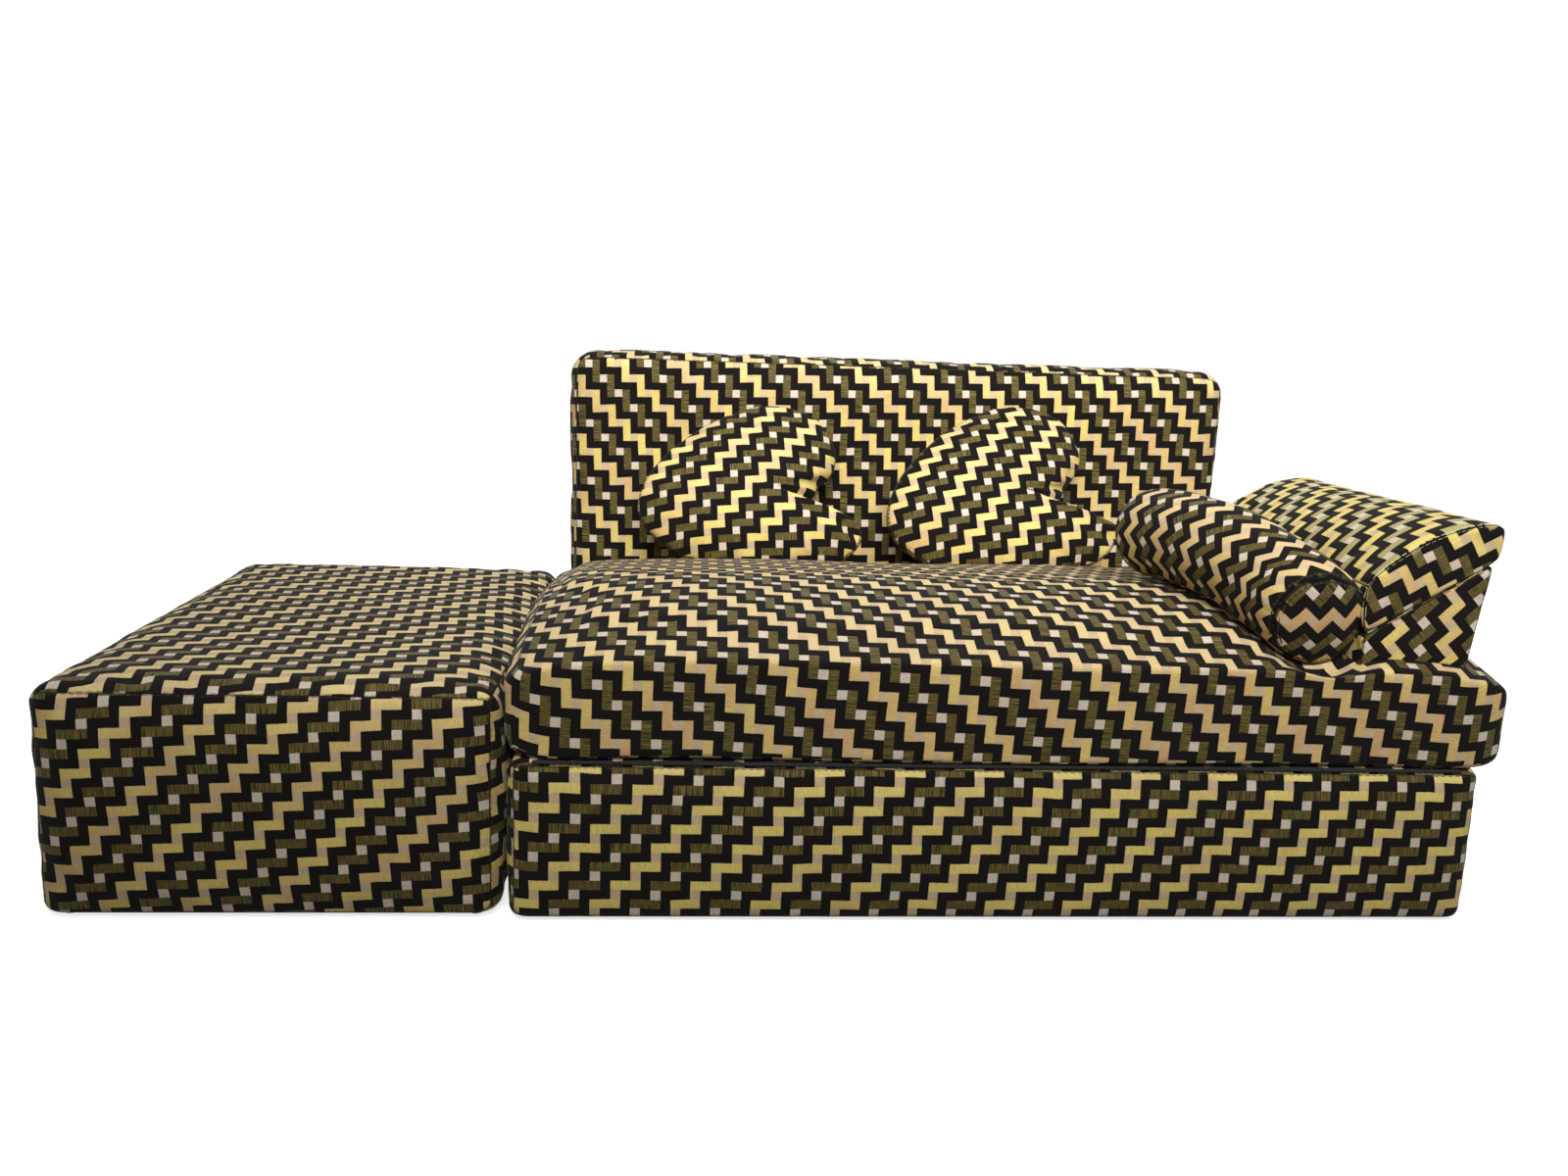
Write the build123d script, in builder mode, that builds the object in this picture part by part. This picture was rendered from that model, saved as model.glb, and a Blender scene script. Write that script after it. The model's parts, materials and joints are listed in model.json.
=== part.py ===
"""Divan sofa bed: a box base with a backrest, a crowned mattress that turns over forward
to make the bed, two heart cushions, a bolster, a sloped arm cushion and an ottoman.

Millimetres. +X is the sitter's left to right as seen from the front, +Y goes to the rear
and +Z is up. The origin is on the floor, below the centre of the whole set's outline.
"""
import os
from math import cos, radians, sin

from build123d import *

os.makedirs("parts", exist_ok=True)

# Driving sizes: the base is four feet wide and three feet deep, in eight inch foam terms
base_width = 1219.0
base_depth = 914.0
base_height = 203.0
base_corner = 24.0
base_top_radius = 10.0
base_bottom_radius = 9.0
glide_height = 5.0
glide_radius = 11.0
glide_inset = 30.0

# Upholstery and carcass of the two boxes
wrap_thickness = 14.0
turn_in_width = 45.0
turn_in_thickness = 2.0
padding_thickness = 8.0
board_thickness = 15.0
deck_thickness = 12.0
rail_width = 40.0
rail_height = 60.0
dust_cloth_thickness = 0.8

# Backrest: a padded board that stands behind the base
back_thickness = 115.0
back_height = 667.0
back_corner = 46.0
back_edge_radius = 36.0
back_board_thickness = 18.0
back_core_inset = 34.0
back_foam_cover = 22.0
back_glide_inset = 60.0
plate_thickness = 2.5
plate_width = 40.0
plate_length = 150.0
plate_inset = 220.0

# Mattress, and the two leaves of the sewn hinge under its front edge
seat_thickness = 176.0
seat_left_bulge = 8.0
seat_right_bulge = 26.0
seat_front_gap = 0.3
seat_back_gap = 4.0
seat_seam_draw = 6.0
seat_top_radius = 56.0
seat_bottom_radius = 12.0
leaf_thickness = 0.5
leaf_width = 24.0
leaf_end_inset = 30.0
leaf_seam_inset = 2.0
core_inset = 34.0
core_floor = 10.0
core_height = 60.0
topper_height = 30.0
topper_inset = 90.0
topper_rear_inset = 160.0

# Heart cushions
heart_length = 384.0
heart_width = 316.0
heart_thickness = 112.0
heart_lean = 27.0
heart_wall = 9.0
heart_left_turn = 12.5
heart_right_turn = 20.0
heart_left_from_side = 315.0
heart_right_from_side = 756.0
heart_height = 424.0
heart_forward = 82.0

# Bolster: a soft roll that hangs over the mattress crown
bolster_radius = 65.0
bolster_skin = 6.0
bolster_seam_draw = 7.0
bolster_end_puff = 12.0
bolster_front_x = 1008.0
bolster_front_y = 37.0
bolster_front_z = 380.0
bolster_middle_x = 946.0
bolster_middle_y = 186.0
bolster_middle_z = 440.0
bolster_rear_x = 890.0
bolster_rear_y = 362.0
bolster_rear_z = 446.0

# Arm cushion: a crowned pad on a wedge, both sloping down to the middle of the seat
arm_left_x = 1070.0
arm_foot_x = 1190.0
arm_right_x = 1214.0
arm_front_y = 34.0
arm_length = 510.0
arm_foot_z = 300.0
arm_crease_left_z = 402.0
arm_crease_right_z = 465.0
arm_pad_left_thickness = 44.0
arm_pad_right_thickness = 56.0
arm_pad_overhang = 10.0
arm_pad_crown = 19.0
arm_corner = 13.0
arm_end_radius = 12.0
arm_core_inset = 11.0
arm_core_corner = 4.0

# Ottoman
ottoman_width = 541.0
ottoman_depth = 809.0
ottoman_height = 286.0
ottoman_corner = 30.0
ottoman_top_radius = 24.0
ottoman_bottom_radius = 12.0
ottoman_gap = 12.0
ottoman_set_back = 8.0

# Clearance between pieces that move apart
running_gap = 0.35

# Shares of the outline sizes, chosen by eye from the photograph
seat_left_shares = ((0.0, 0.20, 0.60, 1.0), (0.06, 0.05, 0.76, 0.30), (0.24, 0.0, 0.87, 0.06))
seat_middle_shares = ((0.09, 0.0, 0.955, 0.0), (0.30, 0.0, 1.0, 0.0), (0.70, 0.0, 1.0, 0.0), (0.91, 0.0, 0.965, 0.0))
seat_right_shares = ((0.24, 0.0, 0.89, 0.05), (0.07, 0.04, 0.80, 0.24), (0.0, 0.19, 0.64, 0.9))
seat_peak_share = 0.31
seat_front_rise_share = 0.11
seat_rear_fall_share = 0.60
seat_front_corner_share = 0.74
seat_front_rise_height_share = 0.895
seat_rear_fall_height_share = 0.84
seat_rear_corner_share = 0.45
heart_sections_shares = ((0.0, 1.0), (0.34, 0.95), (0.66, 0.82), (0.88, 0.60), (1.0, 0.26))
heart_outline_shares = (
    (0.71, 0.0), (0.94, 0.34), (0.94, 0.72), (0.66, 0.98), (0.20, 1.0), (-0.42, 0.80), (-0.93, 0.28),
)
bolster_sections_shares = ((0.0, 1.0), (0.05, 0.25), (0.18, 0.0), (0.5, 0.0), (0.82, 0.0), (0.95, 0.25), (1.0, 1.0))

# Places that follow from the sizes above
total_width = ottoman_width + ottoman_gap + base_width + seat_right_bulge
total_depth = base_depth + back_thickness
ottoman_left = -total_width / 2
base_left = ottoman_left + ottoman_width + ottoman_gap
base_front = -total_depth / 2
back_front = base_front + base_depth
seat_end_draw = 2 * base_corner
hinge_height = base_height + leaf_thickness + running_gap / 2
seat_bottom = base_height + 2 * leaf_thickness + running_gap
seat_front = base_front + seat_front_gap
seat_depth = base_depth - seat_front_gap - seat_back_gap
seat_left = base_left - seat_left_bulge
seat_length = seat_left_bulge + base_width + seat_right_bulge


def save(piece, label):
    """Label a finished piece and write it as its own file."""
    piece.part.label = label
    export_step(piece.part, f"parts/{label}.step")


def box_between(low, high, mode=Mode.ADD):
    """Make a plain box from its two opposite corners."""
    size = [far - near for near, far in zip(low, high)]
    with Locations(low):
        Box(*size, align=(Align.MIN, Align.MIN, Align.MIN), mode=mode)


def rounded_prism(low, high, corner, bottom_radius, top_radius):
    """Make a box between two opposite corners, with round upright edges and soft rims."""
    with BuildPart() as prism:
        with BuildSketch(Plane.XY.offset(low[2])):
            with Locations(((low[0] + high[0]) / 2, (low[1] + high[1]) / 2)):
                RectangleRounded(high[0] - low[0], high[1] - low[1], corner)
        extrude(amount=high[2] - low[2])
        if bottom_radius:
            fillet(edges().group_by(Axis.Z)[0], bottom_radius)
        if top_radius:
            fillet(edges().group_by(Axis.Z)[-1], top_radius)
    return prism.part


def upholstered_box(name, low, high, corner, bottom_radius, top_radius):
    """Make one padded box: its cover, padding, boards, deck, rail, dust cloth and glides."""
    left, front = low[:2]
    right, rear, height = high
    inner_corner = corner - padding_thickness
    inner_low = (left + wrap_thickness, front + wrap_thickness, glide_height + turn_in_thickness)
    inner_high = (right - wrap_thickness, rear - wrap_thickness, height - wrap_thickness)
    mouth_low = (left + turn_in_width, front + turn_in_width, 0)
    mouth_high = (right - turn_in_width, rear - turn_in_width, inner_low[2])

    outer_block = rounded_prism(low, high, corner, bottom_radius, top_radius)
    inner_block = rounded_prism(inner_low, inner_high, inner_corner, 0, 0)
    with BuildPart() as cover:
        add(outer_block)
        add(inner_block, mode=Mode.SUBTRACT)
        box_between(mouth_low, mouth_high, Mode.SUBTRACT)
    save(cover, f"{name}_cover")

    frame_low = (inner_low[0] + padding_thickness, inner_low[1] + padding_thickness, inner_low[2])
    frame_high = tuple(side - padding_thickness for side in inner_high)
    with BuildPart() as padding:
        add(inner_block)
        box_between(frame_low, frame_high, Mode.SUBTRACT)
    save(padding, f"{name}_padding")

    deck_bottom = frame_high[2] - deck_thickness
    inside_left = frame_low[0] + board_thickness
    inside_right = frame_high[0] - board_thickness
    inside_front = frame_low[1] + board_thickness
    inside_rear = frame_high[1] - board_thickness
    rail_left = (inside_left + inside_right - rail_width) / 2
    boards = {
        "front_board": (frame_low, (frame_high[0], inside_front, deck_bottom)),
        "rear_board": ((frame_low[0], inside_rear, frame_low[2]), (frame_high[0], frame_high[1], deck_bottom)),
        "left_board": ((frame_low[0], inside_front, frame_low[2]), (inside_left, inside_rear, deck_bottom)),
        "right_board": ((inside_right, inside_front, frame_low[2]), (frame_high[0], inside_rear, deck_bottom)),
        "deck": ((frame_low[0], frame_low[1], deck_bottom), frame_high),
        "middle_rail": (
            (rail_left, inside_front, deck_bottom - rail_height),
            (rail_left + rail_width, inside_rear, deck_bottom),
        ),
        "dust_cloth": ((mouth_low[0], mouth_low[1], inner_low[2] - dust_cloth_thickness), mouth_high),
    }
    for label, (low, high) in boards.items():
        with BuildPart() as board:
            box_between(low, high)
        save(board, f"{name}_{label}")

    for depth_label, y in (("front", front + glide_inset), ("rear", rear - glide_inset)):
        for side_label, x in (("left", left + glide_inset), ("right", right - glide_inset)):
            save_glide(f"{name}_glide_{depth_label}_{side_label}", x, y)


def save_glide(label, x, y):
    """Make one round nail-on glide that stands on the floor."""
    with BuildPart() as glide:
        with BuildSketch(Plane.XY):
            with Locations((x, y)):
                Circle(glide_radius)
        extrude(amount=glide_height)
        fillet(glide.edges().group_by(Axis.Z)[0], glide_height / 4)
    save(glide, label)


def seat_section(x, low_share, high_share, draw, grow):
    """Draw the mattress profile across its depth at one place along its width."""
    bottom = seat_bottom + seat_thickness * low_share - grow
    rise = seat_thickness * (high_share - low_share) + 2 * grow
    front = seat_front + draw - grow
    depth = seat_depth - 2 * draw + 2 * grow
    seam_draw = seat_seam_draw * (high_share - low_share)
    front_corner = (front, bottom + rise * seat_front_corner_share)
    front_rise = (front + depth * seat_front_rise_share, bottom + rise * seat_front_rise_height_share)
    peak = (front + depth * seat_peak_share, bottom + rise)
    rear_fall = (front + depth * seat_rear_fall_share, bottom + rise * seat_rear_fall_height_share)
    rear_corner = (front + depth, bottom + rise * seat_rear_corner_share)
    top_radius = seat_top_radius * (high_share - low_share)
    bottom_radius = seat_bottom_radius * (high_share - low_share)
    with BuildSketch(Plane.YZ.offset(x)) as section:
        with BuildLine():
            Line((front + seam_draw, bottom), front_corner)
            ThreePointArc(front_corner, front_rise, peak)
            ThreePointArc(peak, rear_fall, rear_corner)
            Line(rear_corner, (front + depth - seam_draw, bottom))
            Line((front + depth - seam_draw, bottom), (front + seam_draw, bottom))
        make_face()
        bottom_corners = vertices().group_by(Axis.Y)[0]
        top_corners = [vertices().sort_by(Axis.X)[0], vertices().sort_by(Axis.X)[-1]]
        fillet(bottom_corners, bottom_radius)
        fillet(top_corners, top_radius)
    return section.sketch


def seat_form(grow):
    """Loft the crowned mattress along its width, a little larger all round if asked."""
    sections = []
    for along_share, low_share, high_share, draw_share in seat_left_shares:
        x = seat_left + seat_thickness * along_share - grow
        sections.append(seat_section(x, low_share, high_share, seat_end_draw * draw_share, grow))
    for along_share, low_share, high_share, draw_share in seat_middle_shares:
        x = seat_left + seat_length * along_share
        sections.append(seat_section(x, low_share, high_share, seat_end_draw * draw_share, grow))
    for along_share, low_share, high_share, draw_share in seat_right_shares:
        x = seat_left + seat_length - seat_thickness * along_share + grow
        sections.append(seat_section(x, low_share, high_share, seat_end_draw * draw_share, grow))
    below = (seat_left - seat_thickness, seat_front - seat_depth, 0)
    ahead = (below[0] + 2 * seat_length, seat_front - grow, seat_bottom + seat_thickness)
    under = (ahead[0], seat_front + 2 * seat_depth, seat_bottom - grow)
    with BuildPart() as form:
        loft(sections=sections)
        box_between(below, ahead, Mode.SUBTRACT)
        box_between(below, under, Mode.SUBTRACT)
    return form.part


def heart_section(plane, length, width):
    """Draw one heart with a blunt tip at -X and its notch at +X."""
    tip_sides = []
    with BuildSketch(plane) as section:
        with BuildLine():
            for side in (1, -1):
                points = [
                    (length / 2 * along_share, side * width / 2 * across_share)
                    for along_share, across_share in heart_outline_shares
                ]
                ThreePointArc(points[0], points[1], points[2])
                ThreePointArc(points[2], points[3], points[4])
                ThreePointArc(points[4], points[5], points[6])
                tip_sides.append(points[6])
            ThreePointArc(tip_sides[0], (-length / 2, 0), tip_sides[1])
        make_face()
    return section.sketch


def heart_form(plane, length, width, thickness):
    """Loft both faces of a stuffed heart from its edge seam to its crown."""
    with BuildPart() as form:
        for side in (1, -1):
            sections = [
                heart_section(
                    plane.offset(side * thickness / 2 * depth_share),
                    length * outline_share,
                    width * outline_share,
                )
                for depth_share, outline_share in heart_sections_shares
            ]
            loft(sections=sections)
    return form.part


def heart_cushion(name, from_side, turn):
    """Make one heart cushion that leans on the backrest and rests on the mattress."""
    lean = radians(heart_lean)
    up_slope = Vector(0, sin(lean), cos(lean))
    along = Vector(1, 0, 0) * cos(radians(turn)) + up_slope * sin(radians(turn))
    centre = (base_left + from_side, back_front - heart_forward, heart_height)
    plane = Plane(origin=centre, x_dir=along, z_dir=(0, -cos(lean), sin(lean)))
    wall = 2 * heart_wall
    inner_form = heart_form(plane, heart_length - 2 * wall, heart_width - 2 * wall, heart_thickness - wall)
    outer_form = heart_form(plane, heart_length, heart_width, heart_thickness)
    with BuildPart() as filling:
        add(inner_form)
        press_against_back(heart_wall)
        add(seat_wall_space, mode=Mode.SUBTRACT)
    save(filling, f"{name}_filling")
    with BuildPart() as cover:
        add(outer_form)
        press_against_back(0)
        add(seat_space, mode=Mode.SUBTRACT)
        add(filling.part, mode=Mode.SUBTRACT)
    save(cover, f"{name}_cover")


def press_against_back(wall):
    """Flatten what would reach into the backrest, less its running gap and a cushion wall."""
    face = back_front - running_gap - wall
    low = (base_left, face, 0)
    high = (base_left + base_width, face + back_thickness, 2 * back_height)
    box_between(low, high, Mode.SUBTRACT)


def bolster_tube(path, radius):
    """Loft the roll along its sagging path, drawn in at both end seams."""
    with BuildPart() as tube:
        for along_share, draw_share in bolster_sections_shares:
            with BuildSketch(bolster_plane(path, along_share)):
                Circle(radius - bolster_seam_draw * draw_share)
        loft()
    return tube.part


def bolster_plane(path, along_share):
    """Place a plane square across the path, with its X direction level."""
    onward = path % along_share
    level = Vector(0, 0, 1).cross(onward)
    return Plane(origin=path @ along_share, x_dir=level, z_dir=onward)


def bolster_end(label, path, along_share, outward):
    """Make one round end panel, puffed out beyond its seam."""
    plane = bolster_plane(path, along_share)
    seam_radius = bolster_radius - bolster_seam_draw
    along_axis = plane.z_dir * outward
    half_plane = Plane(origin=plane.origin, x_dir=plane.x_dir, z_dir=plane.x_dir.cross(along_axis))
    rim = (seam_radius, 0)
    crown = (0, bolster_end_puff)
    puff_radius = (seam_radius ** 2 + bolster_end_puff ** 2) / (2 * bolster_end_puff)
    with BuildPart() as end:
        with BuildSketch(half_plane):
            with BuildLine():
                Line((0, 0), rim)
                RadiusArc(rim, crown, -puff_radius)
                Line(crown, (0, 0))
            make_face()
        revolve(axis=Axis(plane.origin, along_axis))
        add(seat_space, mode=Mode.SUBTRACT)
    save(end, label)


def arm_block(outline, crown, corner_radius, inset):
    """Extrude an outline along the arm cushion, bowed up to a crown if one is given."""
    front = base_front + arm_front_y + inset
    with BuildPart() as block:
        with BuildSketch(Plane.XZ.offset(-front)):
            with BuildLine():
                Polyline(*outline)
                if crown:
                    ThreePointArc(outline[-1], crown, outline[0])
                else:
                    Line(outline[-1], outline[0])
            make_face()
            if inset:
                offset(amount=-inset, kind=Kind.INTERSECTION)
            fillet(vertices(), corner_radius)
        extrude(amount=2 * inset - arm_length)
        if not inset:
            ends = edges().group_by(Axis.Y)
            fillet(ends[0] + ends[-1], arm_end_radius)
    return block.part


# The mattress's own space, with a running gap round it and with a cushion wall as well
seat_space = seat_form(running_gap)
seat_wall_space = seat_form(running_gap + heart_wall)

# Base and ottoman
base_low = (base_left, base_front, glide_height)
base_high = (base_left + base_width, back_front, base_height)
upholstered_box("base", base_low, base_high, base_corner, base_bottom_radius, base_top_radius)

ottoman_low = (ottoman_left, base_front + ottoman_set_back, glide_height)
ottoman_high = (ottoman_left + ottoman_width, ottoman_low[1] + ottoman_depth, ottoman_height)
upholstered_box(
    "ottoman", ottoman_low, ottoman_high, ottoman_corner, ottoman_bottom_radius, ottoman_top_radius
)

# Backrest cover, its foam and board, the glides below it and the plates that tie it to the base
core_low = (base_left + back_core_inset, back_front + back_foam_cover, glide_height + back_core_inset)
core_high = (
    base_left + base_width - back_core_inset,
    back_front + back_thickness - wrap_thickness,
    back_height - back_core_inset,
)
board_front = core_high[1] - back_board_thickness
with BuildPart() as back_cover:
    with BuildSketch(Plane.XZ.offset(-back_front)):
        with Locations((base_left + base_width / 2, (glide_height + back_height) / 2)):
            RectangleRounded(base_width, back_height - glide_height, back_corner)
    extrude(amount=-back_thickness)
    fillet(edges().group_by(Axis.Y)[0] + edges().group_by(Axis.Y)[-1], back_edge_radius)
    box_between(core_low, core_high, Mode.SUBTRACT)
save(back_cover, "backrest_cover")

with BuildPart() as back_foam:
    box_between(core_low, (core_high[0], board_front, core_high[2]))
save(back_foam, "backrest_foam")

with BuildPart() as back_board:
    box_between((core_low[0], board_front, core_low[2]), core_high)
save(back_board, "backrest_board")

for side_label, x in (("left", base_left + back_glide_inset), ("right", base_left + base_width - back_glide_inset)):
    save_glide(f"backrest_glide_{side_label}", x, back_front + back_thickness / 2)

for side_label, x in (("left", base_left + plate_inset), ("right", base_left + base_width - plate_inset)):
    with BuildPart() as plate:
        plate_low = (x - plate_width / 2, back_front - plate_length / 2, glide_height - plate_thickness)
        box_between(plate_low, (x + plate_width / 2, back_front + plate_length / 2, glide_height))
    save(plate, f"joining_plate_{side_label}")

# Mattress: crowned cover with its wadding, and two slabs of foam inside
slab_low = (seat_left + core_inset, seat_front + core_inset, seat_bottom + core_floor)
slab_high = (
    seat_left + seat_length - core_inset,
    seat_front + seat_depth - core_inset,
    slab_low[2] + core_height,
)
topper_low = (seat_left + topper_inset, seat_front + topper_inset, slab_high[2])
topper_high = (
    seat_left + seat_length - topper_inset,
    seat_front + seat_depth - topper_rear_inset,
    slab_high[2] + topper_height,
)
seat_outer_form = seat_form(0)
with BuildPart() as seat_cover:
    add(seat_outer_form)
    box_between(slab_low, slab_high, Mode.SUBTRACT)
    box_between(topper_low, topper_high, Mode.SUBTRACT)
save(seat_cover, "seat_cover")

with BuildPart() as seat_firm_foam:
    box_between(slab_low, slab_high)
save(seat_firm_foam, "seat_firm_foam")

with BuildPart() as seat_soft_foam:
    box_between(topper_low, topper_high)
save(seat_soft_foam, "seat_soft_foam")

# The two leaves of the sewn hinge lie on each other when the bed is closed
leaf_low_x = base_left + leaf_end_inset
leaf_high_x = base_left + base_width - leaf_end_inset
leaf_low_y = base_front + leaf_seam_inset
for label, leaf_bottom in (("hinge_leaf_base", base_height), ("hinge_leaf_seat", seat_bottom - leaf_thickness)):
    with BuildPart() as leaf:
        leaf_high = (leaf_high_x, leaf_low_y + leaf_width, leaf_bottom + leaf_thickness)
        box_between((leaf_low_x, leaf_low_y, leaf_bottom), leaf_high)
    save(leaf, label)

# Loose cushions
heart_cushion("heart_left", heart_left_from_side, heart_left_turn)
heart_cushion("heart_right", heart_right_from_side, heart_right_turn)

bolster_path = ThreePointArc(
    (base_left + bolster_front_x, base_front + bolster_front_y, bolster_front_z),
    (base_left + bolster_middle_x, base_front + bolster_middle_y, bolster_middle_z),
    (base_left + bolster_rear_x, base_front + bolster_rear_y, bolster_rear_z),
)
bolster_inner_tube = bolster_tube(bolster_path, bolster_radius - bolster_skin)
bolster_outer_tube = bolster_tube(bolster_path, bolster_radius)
with BuildPart() as bolster_filling:
    add(bolster_inner_tube)
    add(seat_wall_space, mode=Mode.SUBTRACT)
save(bolster_filling, "bolster_filling")
with BuildPart() as bolster_cover:
    add(bolster_outer_tube)
    add(seat_space, mode=Mode.SUBTRACT)
    add(bolster_filling.part, mode=Mode.SUBTRACT)
save(bolster_cover, "bolster_cover")
bolster_end("bolster_end_front", bolster_path, 0, -1)
bolster_end("bolster_end_rear", bolster_path, 1, 1)

# Arm cushion: outlines from the lower or upper left corner, round the foot, to the right
arm_left = base_left + arm_left_x
arm_right = base_left + arm_right_x
crease_left = (arm_left, arm_crease_left_z)
crease_right = (arm_right, arm_crease_right_z)
wedge_outline = (crease_left, (arm_left, arm_foot_z), (base_left + arm_foot_x, arm_foot_z), crease_right)
pad_left = (arm_left, arm_crease_left_z + arm_pad_left_thickness)
pad_right = (arm_right + arm_pad_overhang, arm_crease_right_z + arm_pad_right_thickness)
pad_outline = (pad_left, crease_left, crease_right, pad_right)
pad_crown = ((arm_left + arm_right) / 2, (pad_left[1] + pad_right[1]) / 2 + arm_pad_crown)

wedge_inner_block = arm_block(wedge_outline, None, arm_core_corner, arm_core_inset)
wedge_outer_block = arm_block(wedge_outline, None, arm_corner, 0)
with BuildPart() as arm_wedge_foam:
    add(wedge_inner_block)
    add(seat_wall_space, mode=Mode.SUBTRACT)
save(arm_wedge_foam, "arm_wedge_foam")
with BuildPart() as arm_wedge_cover:
    add(wedge_outer_block)
    add(seat_space, mode=Mode.SUBTRACT)
    add(arm_wedge_foam.part, mode=Mode.SUBTRACT)
save(arm_wedge_cover, "arm_wedge_cover")

pad_inner_block = arm_block(pad_outline, pad_crown, arm_core_corner, arm_core_inset)
pad_outer_block = arm_block(pad_outline, pad_crown, arm_corner, 0)
with BuildPart() as arm_pad_foam:
    add(pad_inner_block)
save(arm_pad_foam, "arm_pad_foam")
with BuildPart() as arm_pad_cover:
    add(pad_outer_block)
    add(pad_inner_block, mode=Mode.SUBTRACT)
save(arm_pad_cover, "arm_pad_cover")
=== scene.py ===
"""Looks of the divan sofa bed: upholstery in a woven zigzag fabric, plain studio light and camera."""

import json
from functools import reduce
from itertools import product
from math import cos, pi, radians, sin

import bpy
import numpy as np
from mathutils import Matrix, Vector
from mathutils.bvhtree import BVHTree


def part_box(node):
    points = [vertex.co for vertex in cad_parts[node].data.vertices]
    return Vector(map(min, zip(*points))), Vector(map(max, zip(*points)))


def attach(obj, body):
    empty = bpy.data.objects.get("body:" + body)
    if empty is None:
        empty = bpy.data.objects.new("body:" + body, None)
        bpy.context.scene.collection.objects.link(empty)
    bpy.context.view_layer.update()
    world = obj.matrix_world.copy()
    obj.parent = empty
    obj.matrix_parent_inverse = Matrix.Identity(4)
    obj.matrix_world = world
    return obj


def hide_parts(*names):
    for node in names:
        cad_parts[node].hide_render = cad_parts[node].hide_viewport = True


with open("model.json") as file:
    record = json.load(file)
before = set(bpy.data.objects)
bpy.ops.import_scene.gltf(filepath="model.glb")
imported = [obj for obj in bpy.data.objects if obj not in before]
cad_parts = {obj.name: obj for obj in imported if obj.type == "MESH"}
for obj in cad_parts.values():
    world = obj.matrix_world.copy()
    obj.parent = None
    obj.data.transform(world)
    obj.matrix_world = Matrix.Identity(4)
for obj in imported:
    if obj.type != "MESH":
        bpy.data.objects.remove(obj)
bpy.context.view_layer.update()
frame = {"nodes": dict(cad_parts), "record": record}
nodes = frame["nodes"]
scene = bpy.context.scene


def linear(red, green, blue):
    """Turn a colour written as 0 to 255 screen values into the linear values that shaders take."""
    shares = [value / 255 for value in (red, green, blue)]
    return tuple(s / 12.92 if s <= 0.04045 else ((s + 0.055) / 1.055) ** 2.4 for s in shares) + (1.0,)


# Sizes here are in metres and angles in degrees, unless a comment says otherwise

# Zigzag pattern: the size of a cell, and places in a repeat counted in cells. In every second row three
# gold and three olive cells take turns. In the rows between, a beige cell joins the gold cells and a
# cream one stands by the olive cells. Each pair of rows moves on by some cells
CELL = 0.01225
REPEAT = 8.0
PAIR_SHIFT = 2.0
GOLD_END = 2.5
OLIVE_START = 3.5
OLIVE_END = 6.5
CONNECTOR = 2.0
CREAM = 6.0
NEAR_CELL = 0.4

# How far the pattern strays on the cloth, broadly and along the edges of its cells
WANDER = 0.008
WANDER_SCALE = 7.0
RAGGEDNESS = 0.0011
RAGGED_SCALE = 700.0
UP_SHIFTS = (3.1, 5.7)

# Yarns: their spacing, their relief, and how finely their tones vary along and across them
WARP_SPACING = 0.0011
WEFT_SPACING = 0.0007
WEAVE_RELIEF = 0.0004
CREASE_RELIEF = 0.004
CREASE_SCALE = 13.0
PATCH_SCALE = 8.0
PATCH_CONTRAST = 3.0
THREAD_STRETCH = (620.0, 90.0, 1.0)
WEFT_STRETCH = (220.0, 1500.0, 1.0)
HATCH_STRETCH = (1100.0, 45.0, 1.0)
HATCH_SHARES = (2.4, -0.75)
WEAVE_SHARES = (0.5, 0.5, 1.6)
RELIEF_SHARES = (0.12, 0.5, 0.3)

# Yarn colours, from the darkest to the lightest thread
BLACK_YARN = (linear(9, 7, 7), linear(30, 26, 24))
# Tan and bright gold are the two ends of the gold yarn; how far a piece goes towards bright gold is painted
# sheen
TAN_YARN = (linear(186, 142, 92), linear(238, 200, 146))
GOLD_YARN = (linear(210, 178, 76), linear(255, 241, 150))
OLIVE_YARN = (linear(34, 28, 15), linear(132, 117, 62))
BEIGE_YARN = (linear(188, 160, 122), linear(232, 206, 166))
CREAM_YARN = (linear(192, 174, 150), linear(244, 230, 212))

# Painted top light: what gold and olive turn to on surfaces that face upwards, and how much they are painted
# lighter and paler there
PAINTED_TOP_LIGHT_GOLD = linear(238, 222, 176)
LIT_OLIVE = linear(182, 172, 112)
LIT_SHARES = (0.0, 0.45)

# Seams, the painted shade in their gap, and the stitches along them
SEAM_START = 0.0004
SEAM_GAP = 0.0014
SEAM_SHADE = linear(7, 6, 6)
GROOVE_WIDTH = 0.0035
GROOVE_DEPTH = 0.0022
NO_SEAM = 0.05
STITCH_LENGTH = 0.009
STITCH_INSET = 0.0030
STITCH_HALF_WIDTH = 0.0006
STITCH_COLOUR = linear(60, 52, 36)
PALE_STITCH_COLOUR = linear(205, 190, 150)
STITCH_WAVE_START = -0.4

# How strongly each relief shows, how a seam's groove is rounded off, and how much painted shade darkens its
# gap
WEAVE_STRENGTH = 0.6
CREASE_STRENGTH = 0.4
GROOVE_STRENGTH = 0.9
GROOVE_ROUNDING = 0.3
SEAM_SHADE_STRENGTH = 0.85

# Finish of the cloth: the roughness of the dark ground and of the dark and light threads of the raised
# yarns, and its sheen
GROUND_ROUGHNESS = 0.88
YARN_ROUGHNESS = (0.7, 0.45)
SHEEN = 0.03
SHEEN_ROUGHNESS = 0.5
SPECULAR = 0.10

# Relief of the plain materials, and how much rougher their light tone is
PLAIN_RELIEF = 0.001
ROUGHNESS_SPREAD = 0.1

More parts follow.
